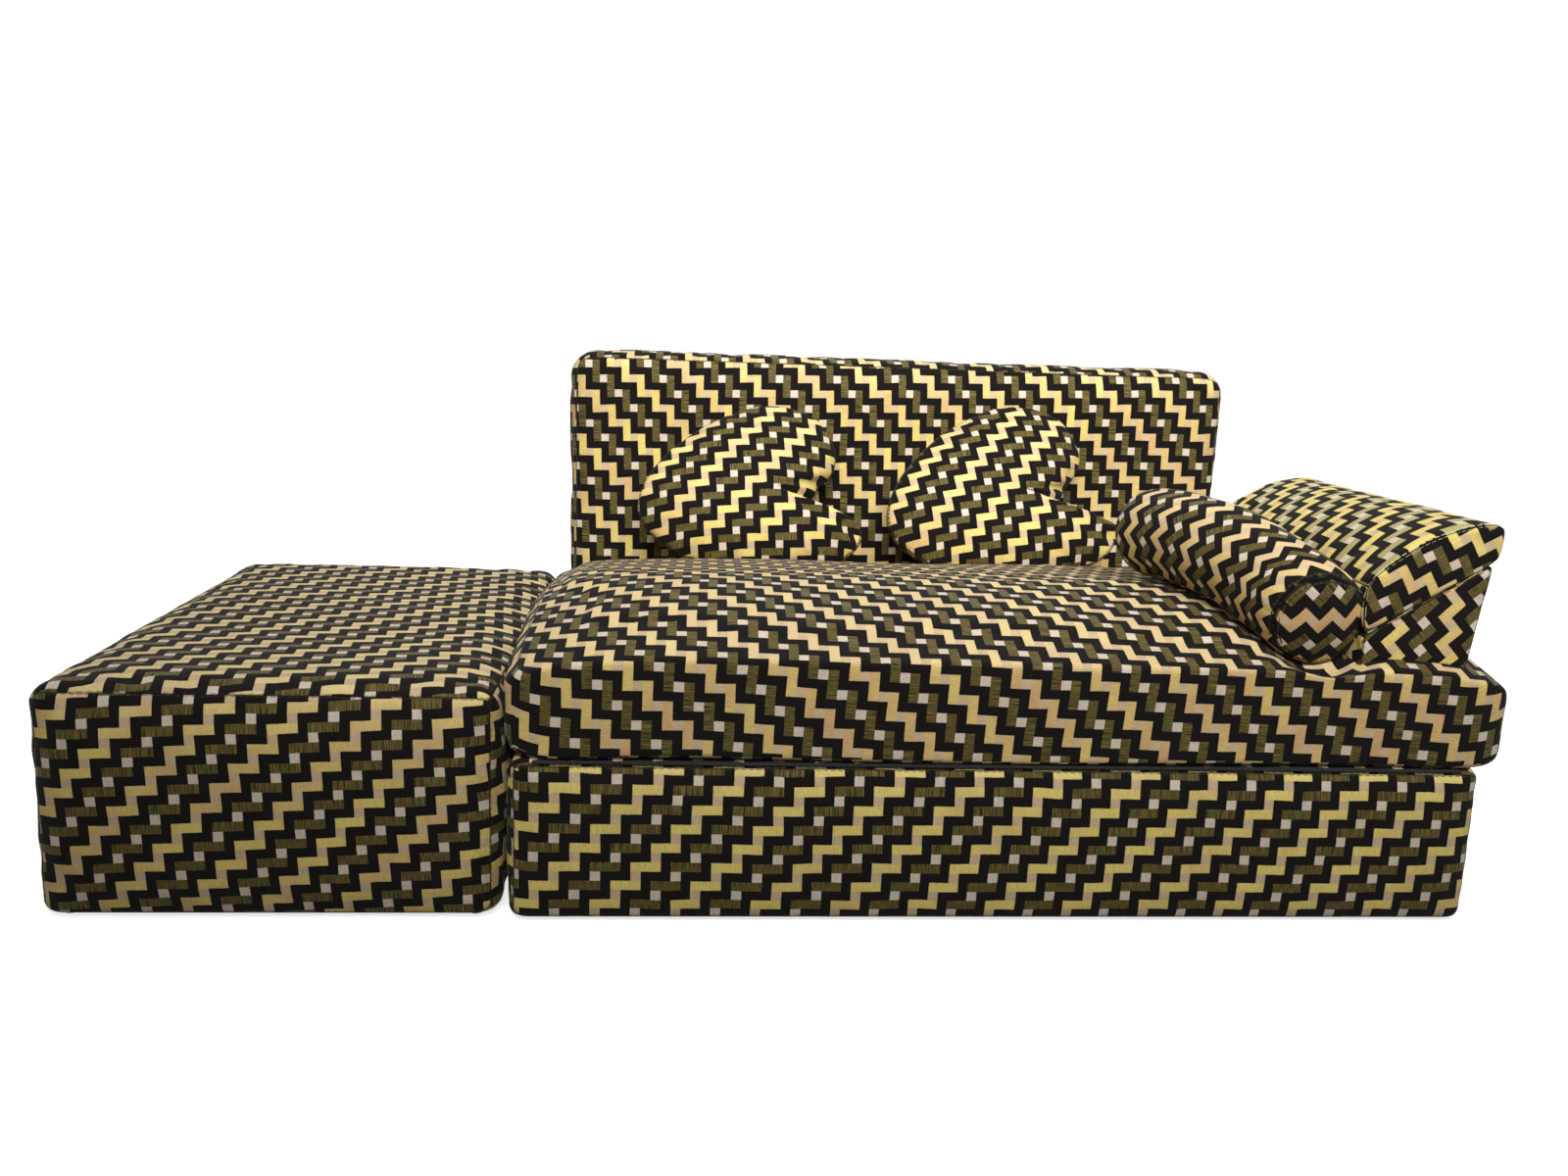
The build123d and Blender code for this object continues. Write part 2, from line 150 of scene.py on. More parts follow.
# Cloth: how hard the covers are blown up, their slack, stiffness and mass, and how far they may sink
PRESSURE = 4.0
SLACK = 0.02
BENDING = 0.5
STIFFNESS = 15
SHEAR_STIFFNESS = 5
CLOTH_MASS = 0.3
CLOTH_STEPS = 5
LAST_FRAME = 20
INWARD_CAP = 0.001

# Grids on solids: rows crowd along the edges by this share of their spacing, rays start this far outside
# the grid, and the core that they aim at lies this share of the least size inside
CROWDING_SHARE = 0.35
RAY_START = 0.02
CORE_SHARE = 0.3
LOW_CORE_SHARE = 0.4
LEAST_CELLS = 6

# Evening a grid out: each round moves points by these shares, towards their neighbours and back
EVENING_SHARES = (0.5, -0.52)
EVENING_ROUNDS = 2

# Wobbles: how many waves are added up, how their length varies, and what their sum is divided by
WAVE_COUNT = 7
WAVE_LENGTH_SHARES = (0.7, 1.5)
WAVE_DIVISOR = 4

# Soft pieces end this far above or in front of what they touch
TOUCH = 0.0004


# Shader building


class Tree:
    """The node tree of a material or a world, with short calls for the nodes used here."""

    def __init__(self, owner):
        self.owner = owner
        owner.use_nodes = True
        self.nodes = owner.node_tree.nodes
        self.links = owner.node_tree.links
        self.nodes.clear()

    def node(self, kind, **inputs):
        made = self.nodes.new(kind)
        for name, value in inputs.items():
            self.put(value, made.inputs[name.replace("_", " ")])
        return made

    def put(self, value, socket):
        if isinstance(value, bpy.types.NodeSocket):
            self.links.new(value, socket)
        else:
            socket.default_value = value

    def fed(self, kind, values, operation=None):
        made = self.nodes.new(kind)
        if operation:
            made.operation = operation
        for socket, value in zip(made.inputs, values):
            self.put(value, socket)
        return made

    def math(self, operation, *values):
        return self.fed("ShaderNodeMath", values, operation).outputs[0]

    def add(self, *values):
        return reduce(lambda total, value: self.math("ADD", total, value), values)

    def times(self, *values):
        return reduce(lambda total, value: self.math("MULTIPLY", total, value), values)

    def weighed(self, values, shares):
        return self.add(*[self.times(value, share) for value, share in zip(values, shares)])

    def clamped(self, value):
        return self.math("MINIMUM", self.math("MAXIMUM", value, 0.0), 1.0)

    def split(self, vector):
        return self.fed("ShaderNodeSeparateXYZ", (vector,)).outputs

    def join(self, x, y, z=0.0):
        return self.fed("ShaderNodeCombineXYZ", (x, y, z)).outputs[0]

    def mix(self, factor, low, high):
        """Mix two numbers."""
        return self.node("ShaderNodeMix", Factor=factor, A=low, B=high).outputs["Result"]

    def mix_colour(self, factor, low, high):
        made = self.nodes.new("ShaderNodeMix")
        made.data_type = "RGBA"
        self.put(factor, made.inputs["Factor"])
        self.put(low, made.inputs[6])
        self.put(high, made.inputs[7])
        return made.outputs[2]

    def noise(self, vector, scale, detail=2.0, stretch=None):
        if stretch:
            vector = self.fed("ShaderNodeVectorMath", (vector, stretch), "MULTIPLY").outputs[0]
        return self.node("ShaderNodeTexNoise", Vector=vector, Scale=scale, Detail=detail).outputs["Fac"]

    def object_point(self):
        return self.node("ShaderNodeTexCoord").outputs["Object"]

    def attribute(self, name):
        made = self.nodes.new("ShaderNodeAttribute")
        made.attribute_name = name
        return made.outputs["Vector"]

    def bump(self, height, distance, strength, normal=None):
        made = self.node("ShaderNodeBump", Height=height, Distance=distance, Strength=strength)
        if normal is not None:
            self.put(normal, made.inputs["Normal"])
        return made.outputs[0]

    def finish(self, shader, kind="Material"):
        output = self.nodes.new("ShaderNodeOutput" + kind)
        self.links.new(shader.outputs[0], output.inputs[0])
        return self.owner


def zigzag_cells(tree, across, up):
    """Return the masks of the gold, connector, olive and cream cells."""
    column = tree.math("FLOOR", tree.math("DIVIDE", across, CELL))
    row = tree.math("FLOOR", tree.math("DIVIDE", up, CELL))
    pair = tree.math("FLOOR", tree.math("DIVIDE", row, 2.0))
    odd_row = tree.math("SUBTRACT", row, tree.times(pair, 2.0))
    even_row = tree.math("SUBTRACT", 1.0, odd_row)
    shifted = tree.math("SUBTRACT", column, tree.times(pair, PAIR_SHIFT))
    step = tree.math("FLOORED_MODULO", shifted, REPEAT)
    gold = tree.times(even_row, tree.math("LESS_THAN", step, GOLD_END))
    past_start = tree.math("GREATER_THAN", step, OLIVE_START)
    olive = tree.times(even_row, tree.times(past_start, tree.math("LESS_THAN", step, OLIVE_END)))
    connector = tree.times(odd_row, tree.math("COMPARE", step, CONNECTOR, NEAR_CELL))
    cream = tree.times(odd_row, tree.math("COMPARE", step, CREAM, NEAR_CELL))
    return gold, connector, olive, cream


def strayed(tree, value, other, shifts=(0.0, 0.0)):
    """A place on the cloth that wanders a little broadly, and is ragged finely."""
    wander = tree.math("SUBTRACT", tree.noise(tree.join(value, other, shifts[0]), WANDER_SCALE), 0.5)
    ragged = tree.math("SUBTRACT", tree.noise(tree.join(value, other, shifts[1]), RAGGED_SCALE, 1.0), 0.5)
    return tree.add(value, tree.times(wander, WANDER), tree.times(ragged, RAGGEDNESS))


def zigzag_fabric(name, yellow, lit=LIT_SHARES, stitch_colour=STITCH_COLOUR):
    """The woven fabric, on a piece whose mesh stores where each point lies on its cloth.

    yellow turns the gold yarn from tan, 0, to bright gold, 1, as the pieces differ in the photograph. This is
    painted sheen: the metallic gold yarn is made yellower on the pieces where the light makes it shine
    yellower.
    lit gives the painted top light: how much yellower the gold and how much lighter the olive yarn is on
    surfaces that face upwards, and how much paler the gold is there.
    """
    tree = Tree(bpy.data.materials.new(name))
    across, up, seam = tree.split(tree.attribute("cloth_place"))
    place = tree.join(across, up)
    drawn = (strayed(tree, across, up), strayed(tree, up, across, UP_SHIFTS))
    gold, connector, olive, cream = zigzag_cells(tree, *drawn)
    raised = tree.math("MINIMUM", tree.add(gold, olive, connector, cream), 1.0)

    patches = tree.noise(place, PATCH_SCALE, 3.0)
    threads = tree.noise(place, 1.0, 3.0, THREAD_STRETCH)
    weft = tree.noise(place, 1.0, 2.0, WEFT_STRETCH)
    hatch = tree.noise(place, 1.0, 1.0, HATCH_STRETCH)
    hatch = tree.clamped(tree.math("MULTIPLY_ADD", hatch, *HATCH_SHARES))
    # Painted top light: on surfaces that face upwards the gold is made yellower and paler and the olive
    # lighter
    facing_up = tree.split(tree.node("ShaderNodeNewGeometry").outputs["Normal"])[2]
    facing_up = tree.math("MAXIMUM", facing_up, 0.0)
    painted_top_light = tree.times(facing_up, lit[0])
    painted_top_paling = tree.times(facing_up, lit[1])
    # Gold tone: random patches, plus the painted sheen of yellow and the painted top light on surfaces that
    # face upwards
    varied = tree.add(tree.times(patches, PATCH_CONTRAST), yellow - PATCH_CONTRAST / 2, painted_top_light)
    tan = tree.mix_colour(threads, *TAN_YARN)
    bright = tree.mix_colour(threads, *GOLD_YARN)
    gold_colour = tree.mix_colour(painted_top_paling, tree.mix_colour(tree.clamped(varied), tan, bright), PAINTED_TOP_LIGHT_GOLD)
    olive_colour = tree.mix_colour(painted_top_light, tree.mix_colour(hatch, *OLIVE_YARN), LIT_OLIVE)
    colour = tree.mix_colour(gold, tree.mix_colour(weft, *BLACK_YARN), gold_colour)
    colour = tree.mix_colour(olive, colour, olive_colour)
    colour = tree.mix_colour(connector, colour, tree.mix_colour(threads, *BEIGE_YARN))
    colour = tree.mix_colour(cream, colour, tree.mix_colour(threads, *CREAM_YARN))

    warp = tree.math("SINE", tree.times(across, 2 * pi / WARP_SPACING))
    crossing = tree.math("SINE", tree.times(up, 2 * pi / WEFT_SPACING))
    weave = tree.weighed((warp, crossing, threads), WEAVE_SHARES)
    relief = tree.weighed((weave, raised, weft), RELIEF_SHARES)
    normal = tree.bump(relief, WEAVE_RELIEF, WEAVE_STRENGTH)
    normal = tree.bump(tree.noise(place, CREASE_SCALE, 3.0), CREASE_RELIEF, CREASE_STRENGTH, normal)
    groove = tree.math("SMOOTH_MIN", tree.math("DIVIDE", seam, GROOVE_WIDTH), 1.0, GROOVE_ROUNDING)
    normal = tree.bump(groove, GROOVE_DEPTH, GROOVE_STRENGTH, normal)
    # Painted shade: the gap of each seam is darkened towards a near-black colour
    painted_seam_shade = tree.times(tree.math("LESS_THAN", seam, SEAM_GAP), SEAM_SHADE_STRENGTH)
    colour = tree.mix_colour(tree.math("SUBTRACT", 1.0, painted_seam_shade), SEAM_SHADE, colour)
    dashes = tree.math("SINE", tree.times(tree.add(across, up), 2 * pi / STITCH_LENGTH))
    on_line = tree.math("COMPARE", seam, STITCH_INSET, STITCH_HALF_WIDTH)
    stitched = tree.times(on_line, tree.math("GREATER_THAN", dashes, STITCH_WAVE_START))
    colour = tree.mix_colour(stitched, colour, stitch_colour)
    roughness = tree.mix(raised, GROUND_ROUGHNESS, tree.mix(threads, *YARN_ROUGHNESS))
    return tree.finish(tree.node(
        "ShaderNodeBsdfPrincipled", Base_Color=colour, Roughness=roughness, Normal=normal,
        Sheen_Weight=SHEEN, Sheen_Roughness=SHEEN_ROUGHNESS, Specular_IOR_Level=SPECULAR,
    ))


def plain_material(name, low, high, scale, roughness, bump, metallic=0.0, stretch=(1.0, 1.0, 1.0)):
    """A material for a piece inside or under the set: two tones of noise with a matching relief."""
    tree = Tree(bpy.data.materials.new(name))
    grain = tree.noise(tree.object_point(), scale, 4.0, stretch)
    return tree.finish(tree.node(
        "ShaderNodeBsdfPrincipled", Base_Color=tree.mix_colour(grain, low, high), Metallic=metallic,
        Roughness=tree.mix(grain, roughness, min(roughness + ROUGHNESS_SPREAD, 1.0)),
        Normal=tree.bump(grain, PLAIN_RELIEF, bump),
    ))


# Mesh building


def mesh_object(name, points, faces):
    mesh = bpy.data.meshes.new(name)
    mesh.from_pydata([tuple(p) for p in points], [], faces)
    mesh.update()
    mesh.shade_smooth()
    made = bpy.data.objects.new(name, mesh)
    scene.collection.objects.link(made)
    return made


def vectors_of(items, name):
    found = np.zeros(len(items) * 3)
    items.foreach_get(name, found)
    return found.reshape(-1, 3)


def points_of(target):
    return vectors_of(target.data.vertices, "co")


def normals_of(target):
    return vectors_of(target.data.vertex_normals, "vector")


def pushed_out(target, push):
    """The points of a cover, each moved along its own normal."""
    return points_of(target) + normals_of(target) * push[:, None]


def set_points(target, points):
    target.data.vertices.foreach_set("co", np.asarray(points, np.float32).ravel())
    target.data.update()


def box_grid(cells):
    """The surface of a block of cells: (grid points, faces, the axis and side of each face)."""
    index = {}
    grid = []
    faces = []
    sides = []

    def corner(spot):
        if spot not in index:
            index[spot] = len(grid)
            grid.append(spot)
        return index[spot]

    for axis in range(3):
        first, second = [a for a in range(3) if a != axis]
        for side, i, j in product((0, cells[axis]), range(cells[first]), range(cells[second])):
            ring = []
            for di, dj in ((0, 0), (1, 0), (1, 1), (0, 1)):
                spot = [0, 0, 0]
                spot[axis] = side
                spot[first] = i + di
                spot[second] = j + dj
                ring.append(corner(tuple(spot)))
            outward = (side > 0) == (axis != 1)
            faces.append(ring if outward else ring[::-1])
            sides.append((axis, int(side > 0)))
    return np.array(grid, float), faces, sides


def eased(shares, reach=CROWDING_SHARE):
    """Crowd evenly spaced shares a little towards both ends, for closer rows along the edges."""
    return shares - reach * np.sin(2 * pi * shares) / (2 * pi)


def ramp(values, start, run):
    """Rise from 0 at the start to 1 at the end of the run."""
    return np.clip((values - start) / run, 0, 1)


def grid_shares(grid, cells):
    return eased(grid / np.array(cells))


def surface_tree(mesh):
    return BVHTree.FromPolygons([v.co for v in mesh.vertices], [p.vertices for p in mesh.polygons])


def height_at(tree, x, y, start):
    """How high a surface stands at a spot, seen from a start above it, or None beside the surface."""
    hit = tree.ray_cast(Vector((x, y, start)), Vector((0, 0, -1)))[0]
    return None if hit is None else hit[2]


def wrapped_block(node, step):
    """Lay a regular grid on the outside of a CAD solid: each grid point falls on it towards its core.

    The grid starts from a box whose top follows the solid's own height, which may be crowned.
    """
    low, high = (np.array(v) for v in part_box(node))
    size = high - low
    cells = [max(LEAST_CELLS, int(round(length / step))) for length in size]
    grid, faces, sides = box_grid(cells)
    shares = grid_shares(grid, cells)
    tree = surface_tree(nodes[node].data)
    inset = min(size) * CORE_SHARE
    laid = []
    for outer in low + size * shares:
        x, y = np.clip(outer[:2], low[:2] + inset, high[:2] - inset)
        top = height_at(tree, x, y, high[2] + RAY_START)
        height = (high[2] if top is None else top) - low[2]
        outer[2] = low[2] + (outer[2] - low[2]) * height / size[2]
        margin = min(inset, height * LOW_CORE_SHARE)
        core = Vector((x, y, np.clip(outer[2], low[2] + margin, low[2] + height - margin)))
        way = core - Vector(outer)
        way.normalize()
        hit = tree.ray_cast(Vector(outer) - way * RAY_START, way)[0]
        laid.append(hit if hit is not None else Vector(outer))
    return np.array(laid), faces, sides, grid, cells


def neighbours(faces, count):
    """Pairs of joined points, and how many joins each point has."""
    pairs = set()
    for face in faces:
        for a, b in zip(face, list(face[1:]) + [face[0]]):
            pairs.add((min(a, b), max(a, b)))
    pairs = np.array(sorted(pairs))
    return pairs, np.maximum(np.bincount(pairs.ravel(), minlength=count), 1)


def neighbour_totals(values, pairs):
    total = np.zeros_like(values)
    np.add.at(total, pairs[:, 0], values[pairs[:, 1]])
    np.add.at(total, pairs[:, 1], values[pairs[:, 0]])
    return total


def evened(points, faces):
    """Even out a shell without shrinking it: points move to their neighbours' middle and back."""
    pairs, joins = neighbours(faces, len(points))
    for share in EVENING_SHARES * EVENING_ROUNDS:
        points = points + (neighbour_totals(points, pairs) / joins[:, None] - points) * share
    return points


def lay_cloth(across, up, anchor=(0.0, 0.0), cells=(0.0, 0.0), turn=0.0, upright=False, stretch=1.0):
    """Turn the cloth about an anchor point, where the given cell of the zigzag lies.

    upright turns the zigzag a further quarter, as the cloth was laid the other way there.
    """
    c, s = cos(radians(turn)), sin(radians(turn))
    side = (across - anchor[0]) / stretch
    rise = (up - anchor[1]) / stretch
    new_across = side * c + rise * s
    new_up = rise * c - side * s
    if upright:
        new_across, new_up = -new_up, new_across
    return new_across + cells[0] * CELL, new_up + cells[1] * CELL


def store_places(target, places, **cloth):
    """Store where each face corner lies on its cloth, and how far it is from a seam.

    The places are first laid out by the lay_cloth settings, if there are any.
    """
    places = np.array(places)
    if cloth:
        places[:, 0], places[:, 1] = lay_cloth(places[:, 0], places[:, 1], **cloth)
    made = target.data.attributes.new("cloth_place", "FLOAT_VECTOR", "CORNER")
    made.data.foreach_set("vector", places.astype(np.float32).ravel())


def panel_places(points, faces, sides, grid, cells, lean, band, top):
    """Where each face corner lies on the cloth of its own panel, and how far it is from a seam.

    The front, the ends and the back are one band of cloth; the top is another panel. Their cloths
    follow the given lay_cloth settings. lean slopes the panels' own directions about Y.
    """
    c, s = cos(radians(lean)), sin(radians(lean))
    along = points[:, 0] * c + points[:, 2] * s
    rise = points[:, 2] * c - points[:, 0] * s
    depth = points[:, 1]
    span = points.max(0) - points.min(0)
    shares = grid_shares(grid, cells)
    to_border = np.minimum(shares, 1 - shares) * span
    run = {
        (1, 0): along,
        (0, 1): along.max() + depth - depth.min(),
        (0, 0): along.min() - depth + depth.min(),
        (1, 1): 2 * along.max() - along + span[1],
    }
    places = []
    for face, (axis, side) in zip(faces, sides):
        ids = np.array(face)
        border = np.min(to_border[ids][:, [a for a in range(3) if a != axis]], axis=1)
        if axis == 2:
            across, up = lay_cloth(along[ids], depth[ids], **top)
        else:
            across, up = lay_cloth(run[(axis, side)][ids], rise[ids], **band)
        places.extend(zip(across, up, border + SEAM_START))
    return places


def waves(points, length, seed):
    """A smooth, repeatable wobble between about -1 and 1 at each point."""
    rng = np.random.RandomState(seed)
    total = np.zeros(len(points))
    for _ in range(WAVE_COUNT):
        way = rng.normal(size=3)
        way /= np.linalg.norm(way)
        turns = 2 * pi / (length * rng.uniform(*WAVE_LENGTH_SHARES))
        total += np.sin(points @ way * turns + rng.uniform(0, 2 * pi))
    return total / WAVE_DIVISOR


def blow_up(target, pinned, cap, pressure=PRESSURE, slack=SLACK, bending=BENDING):
    """Swell a cover like a stuffed one: the seams are held, the cloth between them is pushed out.

    Only the move along the surface's own normal is kept, and hardly any of it inwards, so that the
    corners stay where the solid has them.
    """
    rest = points_of(target)
    out_way = normals_of(target)
    group = target.vertex_groups.new(name="held")
    group.add([int(i) for i in np.nonzero(pinned)[0]], 1.0, "REPLACE")
    cloth = target.modifiers.new("cloth", "CLOTH")
    settings = cloth.settings
    settings.quality = CLOTH_STEPS
    settings.mass = CLOTH_MASS
    settings.tension_stiffness = STIFFNESS
    settings.compression_stiffness = STIFFNESS
    settings.shear_stiffness = SHEAR_STIFFNESS
    settings.bending_stiffness = bending
    settings.use_pressure = True
    settings.uniform_pressure_force = pressure
    settings.shrink_min = -slack
    settings.shrink_max = -slack
    settings.vertex_group_mass = "held"
    settings.effector_weights.gravity = 0.0
    cloth.collision_settings.use_collision = False
    cloth.point_cache.frame_start = 1
    cloth.point_cache.frame_end = LAST_FRAME
    for number in range(1, LAST_FRAME + 1):
        scene.frame_set(number)
    shown = target.evaluated_get(bpy.context.evaluated_depsgraph_get())
    swollen = points_of(shown)
    target.modifiers.remove(cloth)
    target.vertex_groups.clear()
    scene.frame_set(1)
    outward = ((swollen - rest) * out_way).sum(1)
    outward = np.maximum(cap * np.tanh(outward / cap), -INWARD_CAP)
    set_points(target, rest + out_way * outward[:, None])


def hand_over(target, node, body, material):
    """Dress a soft piece, put it on its body and let it stand for its CAD solid."""
    target.data.materials.append(material)
    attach(target, body)
    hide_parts(node)


def finish_soft(target, node, body, fabric):
    smooth = target.modifiers.new("smooth", "SUBSURF")
    smooth.levels = 1
    smooth.render_levels = 1
    hand_over(target, node, body, fabric)
    return target


def stuff(cover, node, body, slot, share, middle):
    """Fill a cover with a smaller copy of its own form, which stands for the CAD filling."""
    inner = middle + (points_of(cover) - middle) * share
    filling = mesh_object(node + "_form", inner, [list(p.vertices) for p in cover.data.polygons])
    hand_over(filling, node, body, by_slot[slot])


def without_underside(points, faces, sides, grid, rim):
    """Leave out the middle of the underside, which stays open inside a folded rim."""
    low = points.min(0)
    high = points.max(0)
    kept = []
    for number, (face, side) in enumerate(zip(faces, sides)):
        middle = points[face].mean(0)
        inside = np.all(low[:2] + rim < middle[:2]) and np.all(middle[:2] < high[:2] - rim)
        if side != (2, 0) or not inside:
            kept.append(number)
    used = sorted({i for number in kept for i in faces[number]})
    renumber = {old: new for new, old in enumerate(used)}
    new_faces = [[renumber[i] for i in faces[number]] for number in kept]
    return points[used], new_faces, [sides[number] for number in kept], grid[used]


# Boxy covers: their grid, the turned-in edge underneath, the puckers along their edges and the wide
# swells between, whose height is a share of the puckers'
COVER_STEP = 0.013
COVER_RIM = 0.045
PUCKER_REACH = 0.035
PUCKER_LENGTH = 0.055
SWELL_LENGTH = 0.32
SWELL_SHARE = 1.2


def box_cushion(
    name, node, body, yellow, fill, cap, wave_height, seed, rim=0.0, lean=0.0, band=None, top=None,
    shell=None, settle=None, lit=LIT_SHARES, stitch_colour=STITCH_COLOUR,
):
    """A boxy cover laid over its CAD solid, blown up between its seams, with puckers along the edges.

    rim leaves only a turned-in edge of that width underneath. shell lays the cover round other corners
    than the solid's own, and settle moves the points to rest on what lies below.
    """
    points, faces, sides, grid, cells = shell or wrapped_block(node, COVER_STEP)
    if rim:
        points, faces, sides, grid = without_underside(points, faces, sides, grid, rim)
    target = mesh_object(name, evened(points, faces), faces)
    on_edge = sum(((grid[:, a] == 0) | (grid[:, a] == cells[a])).astype(int) for a in range(3)) >= 2
    under = grid[:, 2] == 0
    blow_up(target, on_edge | under, cap)
    points = points_of(target)
    near = np.minimum(points - points.min(0), points.max(0) - points)
    from_edge = np.sort(np.maximum(near, 0), axis=1)[:, 1]
    fade = np.exp(-from_edge / PUCKER_REACH)
    pucker = waves(points, PUCKER_LENGTH, seed) * fade * wave_height
    swell = waves(points, SWELL_LENGTH, seed + 1) * wave_height * (1 - fade) * SWELL_SHARE
    points = pushed_out(target, np.where(under, 0.0, pucker + swell))
    if settle:
        points = settle(points)
    set_points(target, points)
    band = band or {}
    store_places(target, panel_places(points, faces, sides, grid, cells, lean, band, top or band))
    return finish_soft(target, node, body, zigzag_fabric(name + "_zigzag", yellow, lit, stitch_colour))


# The CAD pieces that stay, by their material slot: dark and light tone, scale of the grain, and finish
INNER_LOOKS = {
    "wadding": (linear(214, 212, 205), linear(240, 239, 235), 180.0, 0.95, 0.4),
    "fibre_filling": (linear(222, 222, 218), linear(245, 245, 242), 240.0, 0.95, 0.5),
    "foam": (linear(226, 205, 138), linear(242, 226, 170), 900.0, 0.9, 0.5),
    "plywood": (linear(150, 112, 70), linear(206, 168, 118), 30.0, 0.7, 0.15, 0.0, (1.0, 9.0, 9.0)),
    "dust_cloth": (linear(18, 18, 20), linear(40, 40, 44), 1400.0, 0.95, 0.4),
    "glide_plastic": (linear(22, 22, 23), linear(36, 36, 38), 500.0, 0.45, 0.15),
    "zinc_plate": (linear(150, 152, 156), linear(196, 198, 202), 60.0, 0.38, 0.08, 1.0),
    "hinge_tape": (linear(16, 15, 16), linear(36, 34, 36), 900.0, 0.9, 0.5, 0.0, (1.0, 6.0, 1.0)),
}
by_slot = {slot: plain_material(slot, *look) for slot, look in INNER_LOOKS.items()}
for part in frame["record"]["subparts"]:
    if part["material_slot"] in by_slot:
        kept = nodes[part["node"]]
        kept.data.materials.clear()
        kept.data.materials.append(by_slot[part["material_slot"]])

# Places read from the frame
sofa_left, sofa_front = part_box("base_cover")[0][:2]
back_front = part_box("backrest_cover")[0][1]
seat_low, seat_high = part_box("seat_cover")
sofa_corner = np.array((sofa_left, sofa_front, 0.0))

# Base, ottoman and backrest. Each anchor is a spot whose cell of the zigzag was read off the photograph
BASE_CLOTH = {"anchor": (sofa_left + 0.65, 0.105), "cells": (6.93, 0.9)}
OTTOMAN_BAND = {"anchor": (sofa_left - 0.28, 0.145), "cells": (7.25, 0.25), "turn": 2.5, "stretch": 0.965}
OTTOMAN_TOP = {
    "anchor": (sofa_left - 0.28, sofa_front + 0.20), "cells": (6.75, 0.75), "turn": 6.5, "stretch": 1.05,
}
BACKREST_CLOTH = {
    "anchor": (sofa_left + 0.18, 0.59), "cells": (7.0, 0.5), "turn": 1.75, "upright": True, "stretch": 1.08,
}
box_cushion(
    "base_upholstery", "base_cover", "base", yellow=0.95, fill=0.9, cap=0.005, wave_height=0.0010,
    seed=11, rim=COVER_RIM, band=BASE_CLOTH,
)
box_cushion(
    "ottoman_upholstery", "ottoman_cover", "ottoman", yellow=0.55, fill=0.9, cap=0.008,
    wave_height=0.0014, seed=21, rim=COVER_RIM, band=OTTOMAN_BAND, top=OTTOMAN_TOP,
)
box_cushion(
    "backrest_upholstery", "backrest_cover", "base", yellow=0.5, fill=0.85, cap=0.006,
    wave_height=0.0014, seed=31, band=BACKREST_CLOTH,
)

# Bolster: its path is counted from the base's front left corner. Its front end is turned by some
# degrees towards BOLSTER_FACE and set back, over the first stretch of the roll
BOLSTER_RADIUS = 0.065
BOLSTER_PATH = ((1.008, 0.037, 0.380), (0.946, 0.186, 0.440), (0.890, 0.362, 0.446))
BOLSTER_PUFF = 0.011
BOLSTER_PUFF_POWER = 2.4
BOLSTER_FACE = np.array((-0.45, -0.87, 0.19))
BOLSTER_FACE_TURN = 24.0
BOLSTER_FACE_REACH = 0.070
BOLSTER_FACE_BACK = 0.012
BOLSTER_CROWDING_SHARE = 0.55
BOLSTER_FILLING_SHARE = 0.90
BOLSTER_WEAVE_SHARE = 1.12
BOLSTER_SEAM_SHARE = 0.6
BOLSTER_CLOTH = {"turn": -43.0, "cells": (3.0, 0.0), "stretch": 0.96}
DISC_CLOTH = {"turn": -60.0, "cells": (4.0, 2.0), "stretch": 0.96}

# Bolster's grid, and how the cloth is drawn in and gathered at its two end seams
BOLSTER_AROUND = 96
BOLSTER_ALONG = 72
BOLSTER_AXIS_POINTS = 120
DISC_RINGS = 14
SEAM_DRAW = 0.006
SEAM_DRAW_REACH = 0.010
PUCKERS = 22
ROLL_PUCKER = 0.0017
ROLL_PUCKER_REACH = 0.014
ROLL_PUCKER_START = 0.002
ROLL_SLACK = 0.0014
ROLL_SLACK_TURNS = 3
ROLL_SLACK_TWIST = 17
DISC_PUCKER = 0.0008
DISC_PUCKER_START_SHARE = 0.7
DISC_PUCKER_GAIN = 8


def circle_path(start, middle, end, shares):
    """Points and directions on the arc through three points, at shares of its length."""
    a, b, c = (np.array(p) for p in (start, middle, end))
    u = b - a
    v = c - a
    normal = np.cross(u, v)
    square = normal @ normal
    centre = a + (np.cross(normal, u) * (v @ v) - np.cross(normal, v) * (u @ u)) / (2 * square)
    radius = np.linalg.norm(a - centre)
    first = (a - centre) / radius
    axis = normal / np.sqrt(square)
    side = np.cross(axis, first)
    sweep = np.arctan2((c - centre) @ side, (c - centre) @ first)
    found = []
    for share in shares:
        angle = sweep * share
        spot = centre + radius * (first * np.cos(angle) + side * np.sin(angle))
        way = (side * np.cos(angle) - first * np.sin(angle)) * np.sign(sweep)
        found.append((spot, way))
    return found, radius * abs(sweep)


def bolster_route(shares):
    """Points and directions along the middle of the bolster, and its length."""
    return circle_path(*[sofa_corner + np.array(p) for p in BOLSTER_PATH], shares)


# Mattress: its grid, how it swells, the puckers over its foot and the wide swells above
MATTRESS_STEP = 0.0135
MATTRESS_CAP = 0.005
MATTRESS_SLACK = 0.01
MATTRESS_PUCKER = 0.0016
MATTRESS_PUCKER_LENGTH = 0.07
MATTRESS_FOOT_SHARE = 0.12
MATTRESS_SWELL = 0.0018
MATTRESS_SWELL_LENGTH = 0.30
MATTRESS_SEED = 41
MATTRESS_CLOTH = {"anchor": (sofa_left + 0.60, 0.038), "cells": (7.75, 0.0), "turn": -1.5, "upright": True}

# It stands out at its right end, and only above its foot does it give way under the bolster
MATTRESS_END_BULGE = 0.008
MATTRESS_END_POWER = 6
MATTRESS_FOOT = 0.05
DIP_ROUNDS = 5


